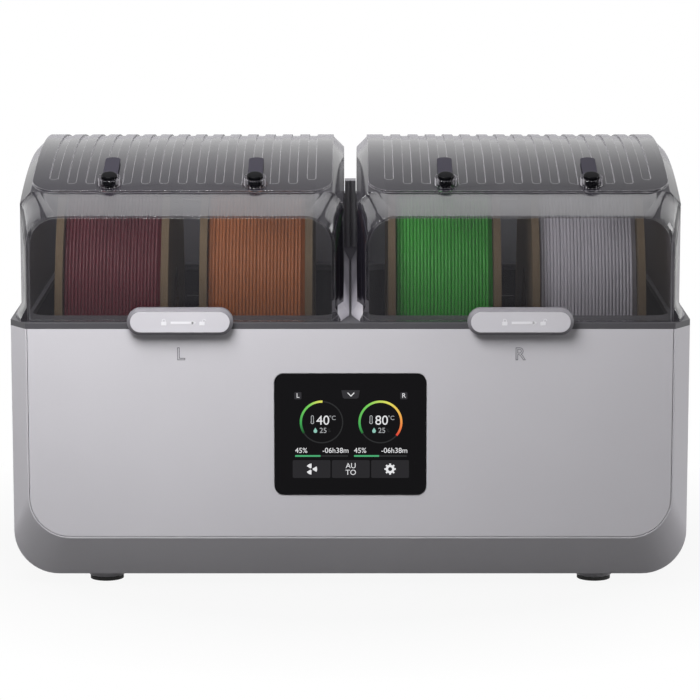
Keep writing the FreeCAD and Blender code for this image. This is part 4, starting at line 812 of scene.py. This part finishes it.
def drawIcons():
    level, half = iconPlan["level"], iconPlan["toothHalf"]
    blades = []
    for turn in range(iconPlan["blades"]):
        start = iconPlan["bladeStart"] + turn * 360 / iconPlan["blades"]
        end = start + iconPlan["bladeSweep"]
        blades += screenArc(iconPlan["fan"], level, iconPlan["bladeRadii"], start, end,
                            iconPlan["bladeSteps"])
    drawOn("fan_icon", blades, "white", 2)
    for place, text, height in zip(("high", "low"), ("AU", "TO"), iconPlan["autoLevels"]):
        writeOn(f"auto_{place}", text, iconPlan["auto"], height, iconPlan["letter"])
    gear = screenArc(iconPlan["gear"], level, iconPlan["gearRadii"], 0, 360, iconPlan["gearSteps"])
    for tooth in range(iconPlan["teeth"]):
        angle = tooth * 360 / iconPlan["teeth"]
        gear += screenArc(iconPlan["gear"], level, iconPlan["toothRadii"], angle - half, angle + half,
                          iconPlan["toothSteps"])
    drawOn("gear_icon", gear, "white", 2)


drawFrames()
drawRings()
fillGauges()
drawBars()
drawIcons()
print("screen drawn")


# small marks on the latches and above the screen
markLook = {"dark": rgb(78, 77, 82), "light": rgb(94, 93, 98), "grain": 2000.0, "rough": 0.5, "bump": 0.05}
raisedLook = {"dark": rgb(214, 213, 217), "light": rgb(226, 225, 229), "grain": 2000.0, "rough": 0.5,
              "bump": 0.05}
markFinish = mouldedFinish("printed_mark", markLook)
raisedFinish = mouldedFinish("raised_mark", raisedLook)
latchPlan = {"unit": 0.000585, "proud": 0.00005, "drop": 0.008, "bowSteps": 12}
# the signs' sizes, in those units
arrowPlan = {"closed": -16, "opened": 22, "tail": -8, "head": 12, "tip": 16, "level": -0.6, "line": 2.4,
             "barb": 2.6}
padlockPlan = {"half": 2.6, "foot": -3.2, "top": 0.6, "round": 0.6, "bow": 1.6, "bowInner": 1.2,
               "bowOuter": 1.9, "leg": 1.55, "legFoot": 0.7, "legWidth": 0.7, "swing": 2.2}
panelPlan = {"size": 0.0105, "drop": 0.0151, "proud": 0.0001, "outline": 0.00018}


def inMetres(plan):
    return {part: length * latchPlan["unit"] for part, length in plan.items()}


def padlock(x, z, opened):
    lock = inMetres(padlockPlan)
    middle = x + lock["swing"] if opened else x
    shapes = [roundRect(x - lock["half"], z + lock["foot"], x + lock["half"], z + lock["top"], lock["round"])]
    shapes += arcBand(middle, z + lock["bow"], lock["bowInner"], lock["bowOuter"], 0, 180,
                      latchPlan["bowSteps"])
    legs = [-lock["leg"]] if opened else [-lock["leg"], lock["leg"]]
    for leg in legs:
        ends = [(middle + leg, z + lock["legFoot"]), (middle + leg, z + lock["bow"])]
        shapes += stroke(ends, lock["legWidth"])
    return shapes


def markLatch(side):
    low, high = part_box(f"latch_slider_{side}")
    mark = inMetres(arrowPlan)
    x, z = (low[0] + high[0]) / 2, high[2] - latchPlan["drop"]
    line = z + mark["level"]
    shapes = padlock(x + mark["closed"], z, False) + padlock(x + mark["opened"], z, True)
    shapes += stroke([(x + mark["tail"], line), (x + mark["head"], line)], mark["line"])
    shapes += [[(x + mark["head"], line - mark["barb"]), (x + mark["tip"], line),
                (x + mark["head"], line + mark["barb"])]]
    inlay(f"latch_marks_{side}", shapes, raisedFinish, f"{side}_latch", low[1], latchPlan["proud"])


def markPanel(side, letter):
    low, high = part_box("front_panel")
    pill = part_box(f"latch_slider_{side}")
    x, z = (pill[0][0] + pill[1][0]) / 2, high[2] - panelPlan["drop"]
    figures(f"chamber_mark_{side}", letter, panelPlan["size"], x, z, markFinish, "dryer", low[1],
            panelPlan["proud"], panelPlan["outline"])


for side, letter in (("left", "L"), ("right", "R")):
    markLatch(side)
    markPanel(side, letter)
print("latches and chambers marked")


# floor, backdrop and lamps
stageLook = {"floorRadius": 2.4, "floorSides": 96, "fadeStart": 0.2, "fadeEnd": 0.34, "floorTone": 0.14,
             "floorGlow": 0.92, "worldLight": 0.13, "skyFade": (0.38, 0.72), "skyDim": 0.4}


# rays that come from the camera, or by way of a reflection or a clear part
def seenRays(wire):
    outputs = wire.make("LightPath").socket.node.outputs
    kinds = ("Is Camera Ray", "Is Glossy Ray", "Is Transmission Ray")
    return [Wire(wire.tree, outputs[kind]) for kind in kinds]


def makeFloor():
    form = bmesh.new()
    bmesh.ops.create_circle(form, cap_ends=True, segments=stageLook["floorSides"],
                            radius=stageLook["floorRadius"])
    mesh = bpy.data.meshes.new("studio_floor")
    form.to_mesh(mesh)
    form.free()
    floor = bpy.data.objects.new("studio_floor", mesh)
    scene.collection.objects.link(floor)
    finish, wire = startFinish("floor_pale")
    place = wire.make("TexCoord", None, None, "Object")
    far = wire.make("VectorMath", {"operation": "LENGTH"}, {0: place}, 1)
    fade = clamped(wire, far, stageLook["fadeStart"], stageLook["fadeEnd"])
    camera, gloss, through = seenRays(wire)
    seen = wire.calc("MAXIMUM", wire.calc("MAXIMUM", camera, gloss), through)
    tone = stageLook["floorTone"]
    matte = wire.make("BsdfDiffuse", None, {"Color": (tone, tone, tone, 1.0)})
    lamp = wire.make("Emission", None, {"Color": (1.0, 1.0, 1.0, 1.0), "Strength": 1.0})
    near = wire.make("MixShader", None, {0: stageLook["floorGlow"] * seen, 1: matte, 2: lamp})
    endFinish(wire, wire.make("MixShader", None, {0: fade * seen, 1: near, 2: lamp}))
    mesh.materials.append(finish)


def makeWorld():
    world = bpy.data.worlds.new("studio_world")
    scene.world = world
    world.use_nodes = True
    world.node_tree.nodes.clear()
    wire = Wire(world.node_tree)
    camera, gloss, through = seenRays(wire)
    high = apart(wire, wire.make("TexCoord", None, None, "Generated"))[2]
    # the backdrop ends, and the room above it is duller
    dim = 1.0 - clamped(wire, high, *stageLook["skyFade"]) * stageLook["skyDim"]
    seen = wire.calc("MAXIMUM", camera, wire.calc("MAXIMUM", gloss, through) * dim)
    level = stageLook["worldLight"] + seen * (1.0 - stageLook["worldLight"])
    back = wire.make("Background", None, {"Color": (1.0, 1.0, 1.0, 1.0), "Strength": level})
    wire.make("OutputWorld", None, {"Surface": back})


lamps = {
    "key_left": {"spot": (-0.2, -0.42, 0.55), "aim": (-0.05, -0.1, 0.1), "size": (0.36, 0.28), "power": 4.8},
    "top": {"spot": (0.0, 0.06, 1.5), "aim": (0.0, 0.06, 0.15), "size": (1.4, 1.0), "power": 14.5},
    "side_right": {"spot": (1.3, -0.2, 0.5), "aim": (0.1, -0.05, 0.12), "size": (0.5, 0.8), "power": 9.0},
    "side_left": {"spot": (-1.3, 0.9, 0.5), "aim": (-0.1, 0.0, 0.12), "size": (0.6, 0.8), "power": 8.0,
                  "dull": True},
    "back": {"spot": (0.3, 1.3, 0.7), "aim": (0.0, 0.1, 0.1), "size": (1.2, 0.8), "power": 11.0,
             "dull": True},
    "edge_left": {"spot": (-1.2, 0.3, 1.0), "aim": (-0.1, -0.1, 0.2), "size": (1.0, 1.1), "power": 10.0,
                  "glossOnly": True},
    "edge_right": {"spot": (1.2, 0.3, 1.0), "aim": (0.1, -0.1, 0.2), "size": (1.0, 1.1), "power": 10.0,
                   "glossOnly": True},
}


def makeLamps():
    for name, look in lamps.items():
        light = bpy.data.lights.new(name, "AREA")
        light.shape = "RECTANGLE"
        light.size, light.size_y = look["size"]
        light.energy = look["power"]
        lamp = bpy.data.objects.new(name, light)
        lamp.location = look["spot"]
        way = Vector(look["aim"]) - Vector(look["spot"])
        lamp.rotation_euler = way.to_track_quat("-Z", "Y").to_euler()
        lamp.visible_diffuse = not look.get("glossOnly", False)
        lamp.visible_glossy = not look.get("dull", False)
        scene.collection.objects.link(lamp)


cameraLook = {"elevation": 9.5, "distance": 1.9, "focus": (-0.0002, -0.13285, 0.1446), "pixel": 0.000585,
              "frame": 700, "sensor": 36.0}


def makeCamera():
    lens = bpy.data.cameras.new("front_camera")
    lens.sensor_width = cameraLook["sensor"]
    lens.lens = cameraLook["sensor"] * cameraLook["distance"] / cameraLook["pixel"] / cameraLook["frame"]
    camera = bpy.data.objects.new("front_camera", lens)
    tilt = math.radians(cameraLook["elevation"])
    way = Vector((0.0, math.cos(tilt), -math.sin(tilt)))
    camera.location = Vector(cameraLook["focus"]) - way * cameraLook["distance"]
    camera.rotation_euler = (math.radians(90) - tilt, 0.0, 0.0)
    scene.collection.objects.link(camera)
    scene.camera = camera


makeFloor()
makeWorld()
makeLamps()
makeCamera()
print("stage set")
